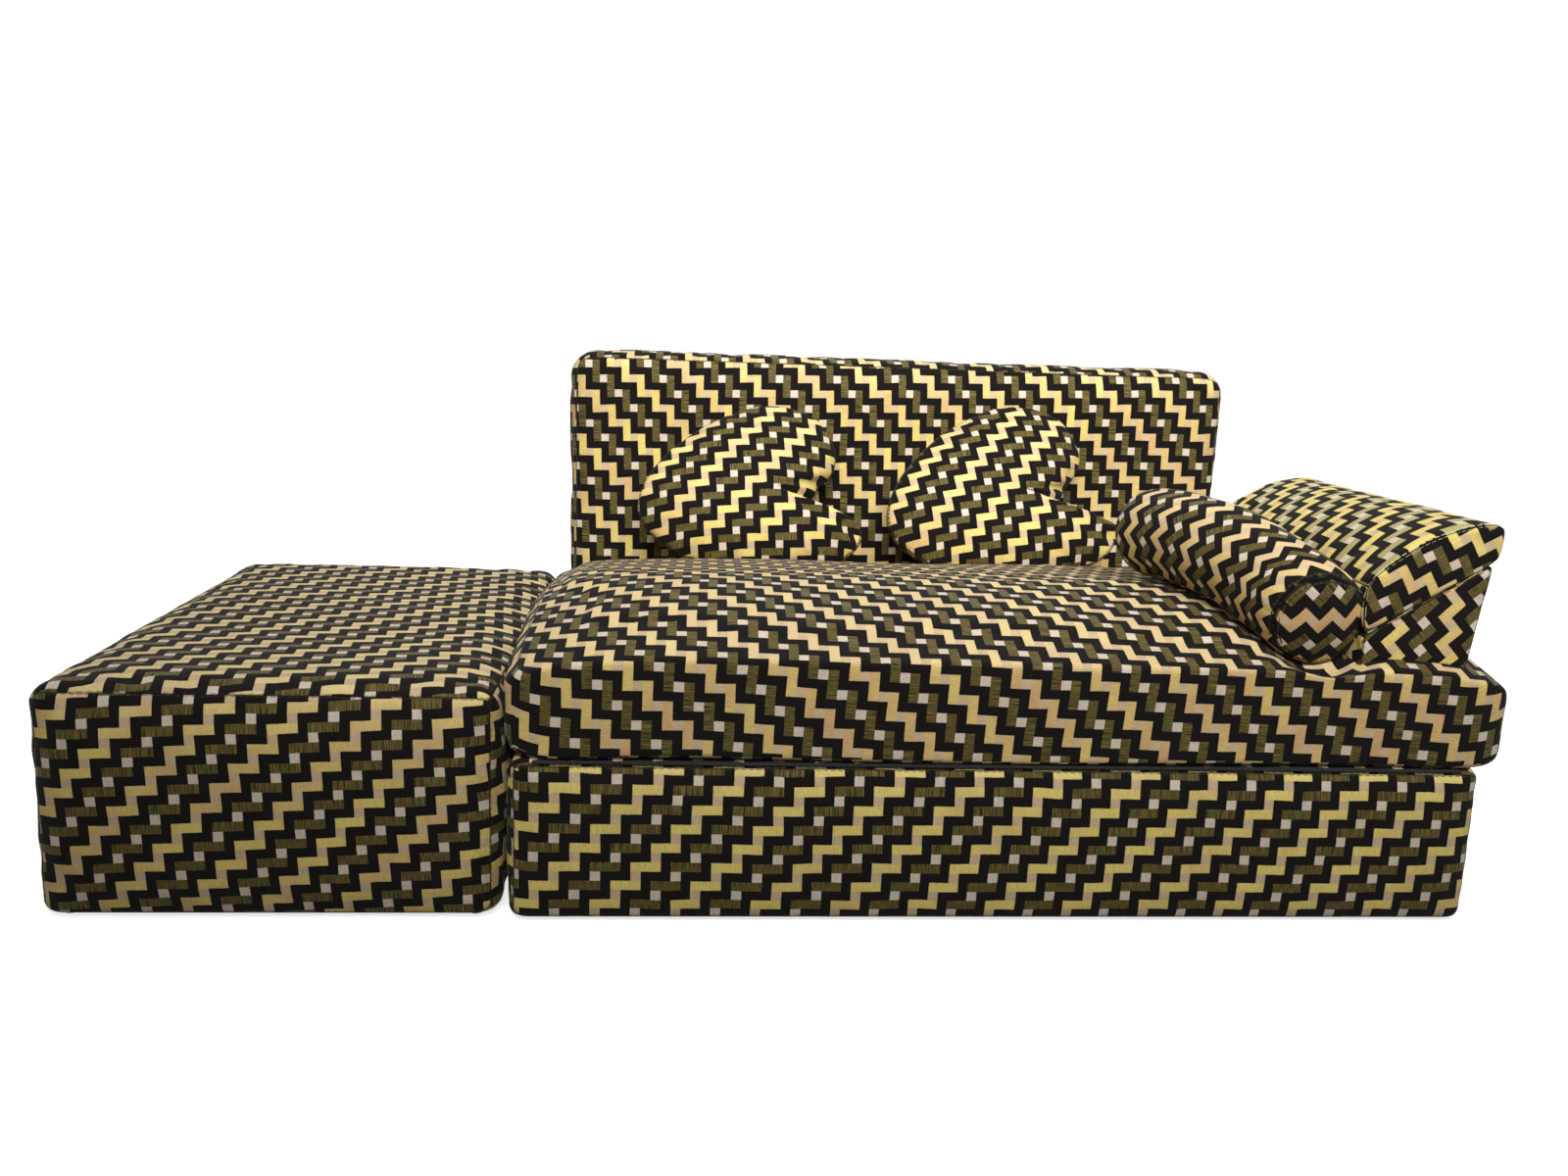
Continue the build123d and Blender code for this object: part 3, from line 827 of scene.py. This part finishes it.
def mattress_places(points, faces, sides, grid, cells):
    """Measure how far along the cloth each face corner lies, across the width and over the depth.

    The top and the front are one cloth. It runs on round the corners as a band along both ends,
    which are sewn to the top.
    """
    spot = {tuple(int(v) for v in g): i for i, g in enumerate(grid)}
    last_x, last_y, top = cells
    middle = last_x // 2

    def run_along(chain, start, way=1):
        """Add up the distances along a chain of grid spots."""
        ids = [spot[place] for place in chain]
        steps = np.linalg.norm(np.diff(points[ids], axis=0), axis=1)
        return dict(zip(chain, start + way * np.concatenate([[0], np.cumsum(steps)])))

    across = {}
    up = {}
    end_across = {}
    end_up = {}
    rows = [(j, top) for j in range(last_y + 1)] + [(side, k) for side in (0, last_y) for k in range(top)]
    for j, k in rows:
        start = points[spot[(middle, j, k)]][0]
        across.update(run_along([(i, j, k) for i in range(middle, last_x + 1)], start))
        across.update(run_along([(i, j, k) for i in range(middle, -1, -1)], start, -1))
    for i in range(last_x + 1):
        up.update(run_along([(i, 0, k) for k in range(top + 1)], 0.0))
        over = run_along([(i, j, top) for j in range(last_y + 1)], up[(i, 0, top)])
        up.update(over)
        up.update(run_along([(i, last_y, k) for k in range(top, -1, -1)], over[(i, last_y, top)]))
    for i, way in ((0, -1), (last_x, 1)):
        for k in range(top + 1):
            chain = [(i, j, k) for j in range(last_y + 1)]
            end_across.update(run_along(chain, across[(i, 0, k)], way))
            end_up.update({place: up[(i, 0, k)] for place in chain})
    places = []
    for face, (axis, side) in zip(faces, sides):
        for number in face:
            place = i, j, k = tuple(int(v) for v in grid[number])
            if axis == 0:
                drop = end_up[(i, 0, top)] - end_up[place]
                places.append((end_across[place], end_up[place], SEAM_START + abs(drop)))
            elif axis == 2 and side == 0:
                places.append((points[number][0], points[number][1], NO_SEAM))
            elif axis == 2:
                to_end = min(abs(across[place] - across[(last, j, k)]) for last in (0, last_x))
                places.append((across[place], up[place], SEAM_START + to_end))
            else:
                places.append((across[place], up[place], SEAM_START + NO_SEAM))
    return places


def pressed_down(points, faces, axis_points, radius):
    """Press a surface down under a roll that lies on it, and let the dip fade out around the roll."""
    need = np.zeros(len(points))
    for spot in axis_points:
        flat = np.linalg.norm(points[:, :2] - spot[:2], axis=1)
        underside = spot[2] - np.sqrt(np.maximum(radius ** 2 - flat ** 2, 0))
        need = np.maximum(need, np.where(flat < radius, points[:, 2] - underside, 0))
    pairs, joins = neighbours(faces, len(points))
    dip = need
    for _ in range(DIP_ROUNDS):
        dip = np.maximum(need, neighbour_totals(dip, pairs) / joins)
    lowered = points.copy()
    lowered[:, 2] -= dip
    return lowered


def make_mattress():
    points, faces, sides, grid, cells = wrapped_block("seat_cover", MATTRESS_STEP)
    points = evened(points, faces)
    target = mesh_object("mattress_upholstery", points, faces)
    store_places(target, mattress_places(points, faces, sides, grid, cells), **MATTRESS_CLOTH)
    under = grid[:, 2] == 0
    blow_up(target, under, MATTRESS_CAP, slack=MATTRESS_SLACK)
    points = points_of(target)
    height_share = (points[:, 2] - seat_low[2]) / (seat_high[2] - seat_low[2])
    near_foot = np.exp(-height_share / MATTRESS_FOOT_SHARE)
    pucker = waves(points, MATTRESS_PUCKER_LENGTH, MATTRESS_SEED) * near_foot * MATTRESS_PUCKER
    swell = waves(points, MATTRESS_SWELL_LENGTH, MATTRESS_SEED + 1) * MATTRESS_SWELL
    points = pushed_out(target, np.where(under, 0.0, pucker + swell))
    to_right = ramp(points[:, 0], seat_low[0], seat_high[0] - seat_low[0])
    points[:, 0] += MATTRESS_END_BULGE * to_right ** MATTRESS_END_POWER
    above = points[:, 2] > seat_low[2] + MATTRESS_FOOT
    axis_points = [spot for spot, _ in bolster_route(np.linspace(0, 1, BOLSTER_AXIS_POINTS))[0]]
    pressed = pressed_down(points, faces, axis_points, BOLSTER_RADIUS + TOUCH)
    points = np.where(above[:, None], pressed, points)
    points[:, 2] = np.maximum(points[:, 2], seat_low[2])
    points[:, 1] = np.clip(points[:, 1], sofa_front + TOUCH, back_front - TOUCH)
    set_points(target, points)
    fabric = zigzag_fabric("mattress_zigzag", yellow=0.35)
    return finish_soft(target, "seat_cover", "mattress", fabric)


mattress_tree = surface_tree(make_mattress().data)

# A height above the whole set, where the rays that look down on the mattress start
ABOVE_SET = 1.0


def rest_on_mattress(points):
    """Lift points that would sink into the mattress up to its surface."""
    lifted = points.copy()
    for i, point in enumerate(points):
        height = height_at(mattress_tree, point[0], point[1], ABOVE_SET)
        if height is not None and point[2] < height + TOUCH:
            lifted[i, 2] = height + TOUCH
    return lifted


# Heart cushions: shares of half the length and half the width, from the notch over the upper lobe to
# the tip, and on round the lower lobe; the upper lobe sags a little over the notch
HEART_LENGTH = 0.384
HEART_WIDTH = 0.316
HEART_THICKNESS = 0.112
HEART_LEAN = 27.0
HEART_FORWARD = 0.082
HEART_HEIGHT = 0.424
HEART_AROUND = 168
HEART_RINGS = 26
HEART_OUTLINE_SHARES = (
    (0.57, -0.26), (0.73, -0.08), (0.90, 0.10), (0.95, 0.36), (0.88, 0.68), (0.66, 0.91), (0.34, 1.02),
    (-0.06, 0.97), (-0.44, 0.79), (-0.76, 0.52), (-0.96, 0.20), (-0.98, -0.10), (-0.76, -0.50),
    (-0.42, -0.80), (-0.04, -0.97), (0.38, -1.03), (0.76, -0.98), (1.00, -0.80), (0.99, -0.58), (0.80, -0.40),
)
HEART_CURVE_POINTS = 24
HEART_HUB_SHARE = 0.06
HEART_DOME_POWERS = (2.6, 0.62)
HEART_FILLING_SHARE = 0.82

# Hearts: how they swell, how the distance from the seam runs, and the height of their folds and waves
HEART_CAP = 0.012
HEART_PRESSURE = 5.0
HEART_SLACK = 0.03
HEART_BENDING = 0.1
HEART_SEAM_RUN = 0.12
SEAM_FOLD = 0.0018
NOTCH_FOLD = 0.0050
NOTCH_DRAW = 0.003
HEART_SWELL = 0.0020
HEART_SWELL_LENGTH = 0.16
HELD_SHARE = 0.999

# Folds at a heart's seam: how often they, their drift and their groups come round it, and which share
# of the rings they take up. Then the same for the folds at the notch, whose spread is in radians
FOLD_TURNS = 31
FOLD_DRIFT_TURNS = 5
FOLD_DRIFT = 2.0
FOLD_GROUP_TURNS = 7
FOLD_START_SHARE = 0.55
FOLD_RUN_SHARE = 0.40
FOLD_END_SHARE = 0.05
NOTCH_FOLD_TURNS = 24
NOTCH_SPREAD = 0.5
NOTCH_START_SHARE = 0.30
NOTCH_RUN_SHARE = 0.5


def heart_outline(scale):
    """The outline, evenly spaced, on a smooth curve through the shares with a sharp notch."""
    half = np.array((HEART_LENGTH / 2, HEART_WIDTH / 2)) * scale
    knots = np.array(HEART_OUTLINE_SHARES + HEART_OUTLINE_SHARES[:1]) * half
    total = len(knots) - 1
    fine = []
    for i in range(total):
        start, end = knots[i], knots[i + 1]
        before = knots[i - 1] if i else 2 * start - end
        after = knots[i + 2] if i < total - 1 else 2 * end - start
        for s in np.linspace(0, 1, HEART_CURVE_POINTS, endpoint=False):
            fine.append(
                0.5 * (2 * start + (end - before) * s + (2 * before - 5 * start + 4 * end - after) * s ** 2
                       + (3 * start - before - 3 * end + after) * s ** 3)
            )
    fine = np.array(fine + [knots[0]])
    run = np.concatenate([[0], np.cumsum(np.linalg.norm(np.diff(fine, axis=0), axis=1))])
    spots = np.linspace(0, run[-1], HEART_AROUND, endpoint=False)
    return np.stack([np.interp(spots, run, fine[:, 0]), np.interp(spots, run, fine[:, 1])], 1)


def heart_plane(from_side, turn):
    """The heart's centre and own directions: along its axis, across it, and out of its face."""
    lean = radians(HEART_LEAN)
    up_slope = Vector((0, sin(lean), cos(lean)))
    along = Vector((1, 0, 0)) * cos(radians(turn)) + up_slope * sin(radians(turn))
    face = Vector((0, -cos(lean), sin(lean)))
    centre = Vector((sofa_left + from_side, back_front - HEART_FORWARD, HEART_HEIGHT))
    return [np.array(v) for v in (centre, along, face.cross(along), face)]


def heart_shell(rim, hub):
    """Two faces of rings that meet at the seam.

    Returns the places in the heart's plane, the heights, the ring shares, the faces and how many
    points the front has.
    """
    powers = HEART_DOME_POWERS
    flat = [hub]
    depth = [HEART_THICKNESS / 2]
    ring_share = [0.0]
    for ring in range(1, HEART_RINGS + 1):
        share = ring / HEART_RINGS
        flat.extend(hub + (rim - hub) * share)
        depth.extend([HEART_THICKNESS / 2 * (1 - share ** powers[0]) ** powers[1]] * HEART_AROUND)
        ring_share.extend([share] * HEART_AROUND)
    front_count = len(flat)
    inner_count = front_count - HEART_AROUND
    flat = np.array(flat + flat[:inner_count])
    depth = np.array(depth + [-value for value in depth[:inner_count]])
    ring_share = np.array(ring_share + ring_share[:inner_count])

    def spot(ring, k, back):
        if ring == 0:
            return front_count if back else 0
        number = 1 + (ring - 1) * HEART_AROUND + k % HEART_AROUND
        return number if not back or ring == HEART_RINGS else front_count + number

    faces = []
    for back in (False, True):
        for k in range(HEART_AROUND):
            fan = [spot(0, 0, back), spot(1, k, back), spot(1, k + 1, back)]
            faces.append(fan[::-1] if back else fan)
            for ring in range(1, HEART_RINGS):
                places = ((ring, k), (ring + 1, k), (ring + 1, k + 1), (ring, k + 1))
                quad = [spot(*place, back) for place in places]
                faces.append(quad[::-1] if back else quad)
    return flat, depth, ring_share, faces, front_count


def heart_folds(points, flat, ring_share, hub, notch_place, seed):
    """How far each point moves out or in: folds that run into the seam and the notch, and a swell."""
    angle = np.arctan2(flat[:, 1], flat[:, 0] - hub[0])
    notch = np.arctan2(notch_place[1], notch_place[0] - hub[0])
    off_notch = np.angle(np.exp(1j * (angle - notch)))
    off_seam = ramp(1.0 - ring_share, 0.0, FOLD_END_SHARE)
    close = ramp(ring_share, FOLD_START_SHARE, FOLD_RUN_SHARE) * off_seam
    drift = FOLD_DRIFT * np.sin(angle * FOLD_DRIFT_TURNS + seed)
    groups = 0.5 + 0.5 * np.sin(angle * FOLD_GROUP_TURNS + seed)
    folds = np.sin(angle * FOLD_TURNS + drift) * groups
    near_notch = np.exp(-((off_notch / NOTCH_SPREAD) ** 2))
    at_notch = near_notch * ramp(ring_share, NOTCH_START_SHARE, NOTCH_RUN_SHARE) * off_seam
    notch_waves = np.sin(off_notch * NOTCH_FOLD_TURNS + seed)
    notch_folds = notch_waves * at_notch * NOTCH_FOLD - at_notch * NOTCH_DRAW
    swell = waves(points, HEART_SWELL_LENGTH, seed) * HEART_SWELL * (1 - ring_share)
    return folds * close * SEAM_FOLD + notch_folds + swell


def make_heart(side, from_side, turn, scale, cloth_turn, seed):
    """Build a stuffed heart and its filling."""
    centre, along, across, out = heart_plane(from_side, turn)
    rim = heart_outline(scale)
    hub = np.array((HEART_HUB_SHARE * HEART_LENGTH, 0.0))
    flat, depth, ring_share, faces, front_count = heart_shell(rim, hub)
    points = centre + flat[:, :1] * along + flat[:, 1:] * across + depth[:, None] * out
    target = mesh_object(f"heart_{side}_cushion", points, faces)
    places = []
    for face in faces:
        for i in face:
            mirrored = 1.0 if i < front_count else -1.0
            places.append((mirrored * flat[i][0], flat[i][1], (1 - ring_share[i]) * HEART_SEAM_RUN))
    store_places(target, places, turn=cloth_turn)
    blow_up(target, ring_share > HELD_SHARE, HEART_CAP, HEART_PRESSURE, HEART_SLACK, HEART_BENDING)
    push = heart_folds(points_of(target), flat, ring_share, hub, rim[0], seed)
    points = pushed_out(target, push)
    points[:, 1] = np.minimum(points[:, 1], back_front - TOUCH)
    set_points(target, rest_on_mattress(points))
    fabric = zigzag_fabric(f"heart_{side}_zigzag", yellow=0.7)
    body = f"heart_{side}"
    finish_soft(target, body + "_cover", body, fabric)
    middle = centre + hub[0] * along
    stuff(target, body + "_filling", body, "fibre_filling", HEART_FILLING_SHARE, middle)


make_heart("left", from_side=0.313, turn=12.5, scale=1.0, cloth_turn=-9.0, seed=3)
make_heart("right", from_side=0.764, turn=18.0, scale=1.05, cloth_turn=-10.0, seed=5)


def front_slant(first_way):
    """Return a rule for how far back a point near the front end moves, for the end to face forwards."""
    aside = BOLSTER_FACE - (BOLSTER_FACE @ first_way) * first_way
    aside *= np.tan(radians(BOLSTER_FACE_TURN)) / np.linalg.norm(aside)

    def slant(offset, run):
        return (aside @ offset + BOLSTER_FACE_BACK) * np.exp(-((run / BOLSTER_FACE_REACH) ** 2))

    return slant


def spoke(k, level, up):
    """The angle of one of the bolster's spokes, and its direction."""
    angle = 2 * pi * k / BOLSTER_AROUND - pi / 2
    return angle, np.cos(angle) * level + np.sin(angle) * up


def roll_ring(share, length, frame_here, slant):
    """One ring of points around the roll."""
    spot, way, level, up = frame_here
    ends = min(share, 1 - share) * length
    draw = SEAM_DRAW * np.exp(-ends / SEAM_DRAW_REACH)
    ring = []
    for k in range(BOLSTER_AROUND):
        angle, outwards = spoke(k, level, up)
        gather = ROLL_PUCKER * np.sin(angle * PUCKERS) * np.exp(-ends / ROLL_PUCKER_REACH)
        pucker = gather * (1 - np.exp(-ends / ROLL_PUCKER_START))
        twisted = np.sin(angle * ROLL_SLACK_TURNS + share * ROLL_SLACK_TWIST)
        slack = ROLL_SLACK * twisted * np.sin(share * pi)
        offset = (BOLSTER_RADIUS - draw + pucker + slack) * outwards
        ring.append(spot + offset + way * slant(offset, share * length))
    return ring


def roll_faces(shares, length):
    """The faces between the rings of the roll, and where their corners lie on the cloth."""
    faces = []
    places = []
    for i in range(BOLSTER_ALONG):
        for k in range(BOLSTER_AROUND):
            corners = ((i, k), (i + 1, k), (i + 1, k + 1), (i, k + 1))
            faces.append([row * BOLSTER_AROUND + column % BOLSTER_AROUND for row, column in corners])
            for row, column in corners:
                around = 2 * pi * BOLSTER_RADIUS * column / BOLSTER_AROUND
                run = shares[row] * length
                to_seam = BOLSTER_SEAM_SHARE * min(run, length - run)
                places.append((around, run * BOLSTER_WEAVE_SHARE, to_seam))
    return faces, places


def make_roll_filling(rings, faces):
    """A slimmer closed roll inside the cover."""
    middles = rings.mean(1)
    inner = middles[:, None] + (rings - middles[:, None]) * BOLSTER_FILLING_SHARE
    inner = np.concatenate([inner.reshape(-1, 3), middles[:1], middles[-1:]])
    last_ring = BOLSTER_ALONG * BOLSTER_AROUND
    caps = []
    for k in range(BOLSTER_AROUND):
        after = (k + 1) % BOLSTER_AROUND
        caps.append([k, after, len(inner) - 2])
        caps.append([last_ring + after, last_ring + k, len(inner) - 1])
    filling = mesh_object("bolster_fibre", inner, faces + caps)
    slot = "fibre_filling"
    hand_over(filling, "bolster_filling", "bolster", by_slot[slot])


def make_disc(label, frame_here, outward, slant=None):
    """Build one puffed end panel of the bolster, with small puckers at its seam."""
    spot, way, level, up = frame_here
    rim = BOLSTER_RADIUS - SEAM_DRAW
    points = []
    flat = []

    def add_point(share, k):
        angle, outwards = spoke(k, level, up)
        radius = rim * share
        start = DISC_PUCKER_START_SHARE
        puff = BOLSTER_PUFF * (1 - share ** BOLSTER_PUFF_POWER)
        close = ramp(share, start, 1 - start) * (1 - share) * DISC_PUCKER_GAIN
        puff += DISC_PUCKER * np.sin(angle * PUCKERS) * close
        offset = radius * outwards
        back = slant(offset, 0.0) if slant else 0.0
        points.append(spot + way * (outward * puff + back) + offset)
        flat.append((radius * np.cos(angle), radius * np.sin(angle)))

    add_point(0.0, 0)
    for ring in range(1, DISC_RINGS + 1):
        for k in range(BOLSTER_AROUND):
            add_point(ring / DISC_RINGS, k)
    faces = []
    for k in range(BOLSTER_AROUND):
        after = (k + 1) % BOLSTER_AROUND
        faces.append([0, 1 + k, 1 + after])
        for ring in range(DISC_RINGS - 1):
            a = 1 + ring * BOLSTER_AROUND
            b = a + BOLSTER_AROUND
            faces.append([a + k, b + k, b + after, a + after])
    if outward < 0:
        faces = [face[::-1] for face in faces]
    places = []
    for face in faces:
        for i in face:
            x, z = flat[i]
            places.append((x * -outward, z, BOLSTER_SEAM_SHARE * (rim - np.hypot(x, z))))
    disc = mesh_object(f"bolster_disc_{label}", points, faces)
    store_places(disc, places, **DISC_CLOTH)
    fabric = zigzag_fabric(f"bolster_disc_{label}_zigzag", yellow=0.2)
    finish_soft(disc, f"bolster_end_{label}", "bolster", fabric)


def make_bolster():
    """Build the roll, its filling and its two end panels."""
    shares = eased(np.linspace(0, 1, BOLSTER_ALONG + 1), BOLSTER_CROWDING_SHARE)
    route, length = bolster_route(shares)
    frames = []
    for spot, way in route:
        level = np.cross((0, 0, 1), way)
        level /= np.linalg.norm(level)
        frames.append((spot, way, level, np.cross(way, level)))
    slant = front_slant(route[0][1])
    rings = np.array([roll_ring(share, length, here, slant) for share, here in zip(shares, frames)])
    faces, places = roll_faces(shares, length)
    make_roll_filling(rings, faces)
    roll = mesh_object("bolster_roll", rings.reshape(-1, 3), faces)
    store_places(roll, places, **BOLSTER_CLOTH)
    finish_soft(roll, "bolster_cover", "bolster", zigzag_fabric("bolster_zigzag", yellow=0.35))
    make_disc("front", frames[0], -1, slant)
    make_disc("rear", frames[-1], 1)


make_bolster()

# Arm cushion, counted from the base's front left corner: the two edges of the wedge's top, of the pad's
# underside and top, and of the wedge's foot, as (across, up)
ARM_CREASE = ((1.055, 0.369), (1.213, 0.465))
ARM_PAD_FOOT = ((1.053, 0.370), (1.221, 0.470))
ARM_PAD_TOP = ((1.049, 0.437), (1.225, 0.517))
ARM_FOOT = ((1.055, 0.300), (1.192, 0.300))
ARM_FRONT = 0.034
ARM_LENGTH = 0.510
ARM_CROWN = 0.025
ARM_BOW_SHARES = (0.8, 0.2)
ARM_STEP = 0.0085
ARM_SLOPE = 30.0
ARM_FILL = 0.8
PAD_ROUNDING = 0.020
WEDGE_ROUNDING = 0.006
FOAM_SHARE = 0.90


def rounded_shares(u, w, length, height, radius):
    """Round the corners of a cross-section that is given by shares of its length and height."""
    spots = np.stack([u * length, w * height], 1)
    limits = np.array((length, height))
    centres = np.clip(spots, radius, limits - radius)
    way = spots - centres
    reach = np.linalg.norm(way, axis=1)
    shrink = np.where(reach > radius, radius / np.maximum(reach, radius), 1.0)
    spots = (centres + way * shrink[:, None]) / limits
    return spots[:, :1], spots[:, 1:]


def sloped_block(bottom, top, crown, rounding):
    """A grid on a block whose cross-section has two bottom and two top corners, bowed up on top."""
    (low_left, low_right), (high_left, high_right) = np.array(bottom), np.array(top)
    length = np.linalg.norm(high_right - high_left)
    height = np.linalg.norm((high_left + high_right - low_left - low_right) / 2)
    cells = [max(LEAST_CELLS, int(round(value / ARM_STEP))) for value in (length, ARM_LENGTH, height)]
    grid, faces, sides = box_grid(cells)
    u, v, w = grid_shares(grid, cells).T
    bow = crown * np.sin(pi * u) * (ARM_BOW_SHARES[0] + ARM_BOW_SHARES[1] * np.sin(pi * v)) * w
    u, w = rounded_shares(u, w, length, height, rounding)
    section = (low_left * (1 - u) + low_right * u) * (1 - w) + (high_left * (1 - u) + high_right * u) * w
    points = np.stack([
        sofa_left + section[:, 0], sofa_front + ARM_FRONT + ARM_LENGTH * v, section[:, 1] + bow,
    ], 1)
    return points, faces, sides, grid, cells


def make_arm_piece(kind, **settings):
    """Build the pad or the wedge of the arm cushion, and its foam, with these box_cushion settings."""
    cover = box_cushion(
        f"arm_{kind}_cushion", f"arm_{kind}_cover", "arm_cushion", fill=ARM_FILL, lean=ARM_SLOPE,
        settle=rest_on_mattress, **settings,
    )
    middle = points_of(cover).mean(0)
    stuff(cover, f"arm_{kind}_foam", "arm_cushion", "foam", FOAM_SHARE, middle)


# The pad's top gets strong painted top light, which makes its gold yellower and its olive lighter
make_arm_piece(
    "pad", yellow=0.35, shell=sloped_block(ARM_PAD_FOOT, ARM_PAD_TOP, ARM_CROWN, PAD_ROUNDING),
    cap=0.005, wave_height=0.0012, seed=51, band={"upright": True, "cells": (2.0, 1.0)},
    top={"cells": (1.0, 1.0)}, lit=(1.4, 0.0), stitch_colour=PALE_STITCH_COLOUR,
)
make_arm_piece(
    "wedge", yellow=0.6, shell=sloped_block(ARM_FOOT, ARM_CREASE, 0.0, WEDGE_ROUNDING),
    cap=0.003, wave_height=0.0010, seed=61, band={"cells": (4.0, 0.0), "turn": 13.0},
    top={"cells": (4.0, 0.0)}, lit=(0.0, 0.0),
)

# Studio: a pale floor that runs on as a white backdrop, soft lamps and the photographed view
FLOOR_HALF = 14.0
FLOOR_SHADES = (0.30, 0.86)
FLOOR_GLOWS = (0.75, 1.0)
FLOOR_GLOW_START = 0.9
WORLD_LIGHT = 0.085
WHITE = (1.0, 1.0, 1.0, 1.0)


def make_floor():
    """A floor that keeps the object's shadow and looks white where it runs on."""
    tree = Tree(bpy.data.materials.new("studio_floor"))
    rays = tree.node("ShaderNodeLightPath").outputs
    kinds = ("Is Camera Ray", "Is Glossy Ray", "Is Transmission Ray")
    is_seen = tree.math("MINIMUM", tree.add(*[rays[kind] for kind in kinds]), 1.0)
    distance = tree.fed("ShaderNodeVectorMath", (tree.object_point(),), "LENGTH").outputs["Value"]
    far = tree.clamped(tree.math("SUBTRACT", distance, FLOOR_GLOW_START))
    shade = tree.mix(rays["Is Camera Ray"], *FLOOR_SHADES)
    paint = tree.node("ShaderNodeBsdfDiffuse", Color=tree.join(shade, shade, shade))
    strength = tree.times(is_seen, tree.mix(far, *FLOOR_GLOWS))
    glow = tree.node("ShaderNodeEmission", Color=WHITE, Strength=strength)
    both = tree.fed("ShaderNodeAddShader", (paint.outputs[0], glow.outputs[0]))
    half = FLOOR_HALF
    corners = [(-half, -half, 0), (half, -half, 0), (half, half, 0), (-half, half, 0)]
    floor = mesh_object("floor", corners, [[0, 1, 2, 3]])
    floor.data.materials.append(tree.finish(both))


def make_world():
    """A world that is white where it is seen, and lights the set only a little."""
    tree = Tree(bpy.data.worlds.new("studio"))
    rays = tree.node("ShaderNodeLightPath").outputs
    seen = tree.math("MAXIMUM", rays["Is Camera Ray"], rays["Is Glossy Ray"])
    backdrop = tree.node("ShaderNodeBackground", Color=WHITE, Strength=tree.mix(seen, WORLD_LIGHT, 1.0))
    scene.world = tree.finish(backdrop, "World")


def lamp(name, place, target, size, power, spread=180.0):
    data = bpy.data.lights.new(name, "AREA")
    data.shape = "RECTANGLE"
    data.size, data.size_y = size
    data.energy = power
    data.spread = radians(spread)
    made = bpy.data.objects.new(name, data)
    made.location = place
    made.rotation_euler = (Vector(target) - Vector(place)).to_track_quat("-Z", "Y").to_euler()
    scene.collection.objects.link(made)


make_floor()
make_world()
lamp("key", place=(0.25, -2.0, 2.1), target=(0.36, 0.45, 0.62), size=(2.4, 0.9), power=21, spread=64.0)
lamp("top", place=(0.2, 0.1, 2.8), target=(0.2, 0.0, 0.0), size=(2.6, 1.2), power=10)
lamp("left_fill", place=(-2.4, -2.0, 1.9), target=(0.2, 0.3, 0.5), size=(1.0, 1.0), power=4)
lamp("back_fill", place=(0.6, 2.6, 2.2), target=(0.1, 0.0, 0.3), size=(2.0, 1.2), power=9)

# Camera: fitted to the photograph's perspective; its place is counted from the base's front left corner
CAMERA_PLACE = (0.195, -1.520, 0.725)
PITCH = radians(11.20)
YAW = radians(4.80)
ROLL = radians(2.14)
SENSOR_WIDTH = 36.0
FOCAL_PIXELS = 1352.0
PHOTO_PIXELS = 1600.0

forward = Vector((sin(YAW) * cos(PITCH), cos(YAW) * cos(PITCH), -sin(PITCH)))
level_right = Vector((cos(YAW), -sin(YAW), 0.0))
plumb_up = level_right.cross(forward)
right = level_right * cos(ROLL) + plumb_up * sin(ROLL)
up = plumb_up * cos(ROLL) - level_right * sin(ROLL)
camera_data = bpy.data.cameras.new("camera")
camera_data.sensor_width = SENSOR_WIDTH
camera_data.lens = SENSOR_WIDTH * FOCAL_PIXELS / PHOTO_PIXELS
camera = bpy.data.objects.new("camera", camera_data)
camera.matrix_world = Matrix((
    (right.x, up.x, -forward.x, sofa_left + CAMERA_PLACE[0]),
    (right.y, up.y, -forward.y, sofa_front + CAMERA_PLACE[1]),
    (right.z, up.z, -forward.z, CAMERA_PLACE[2]),
    (0.0, 0.0, 0.0, 1.0),
))
scene.collection.objects.link(camera)
scene.camera = camera
scene.view_settings.view_transform = "Standard"
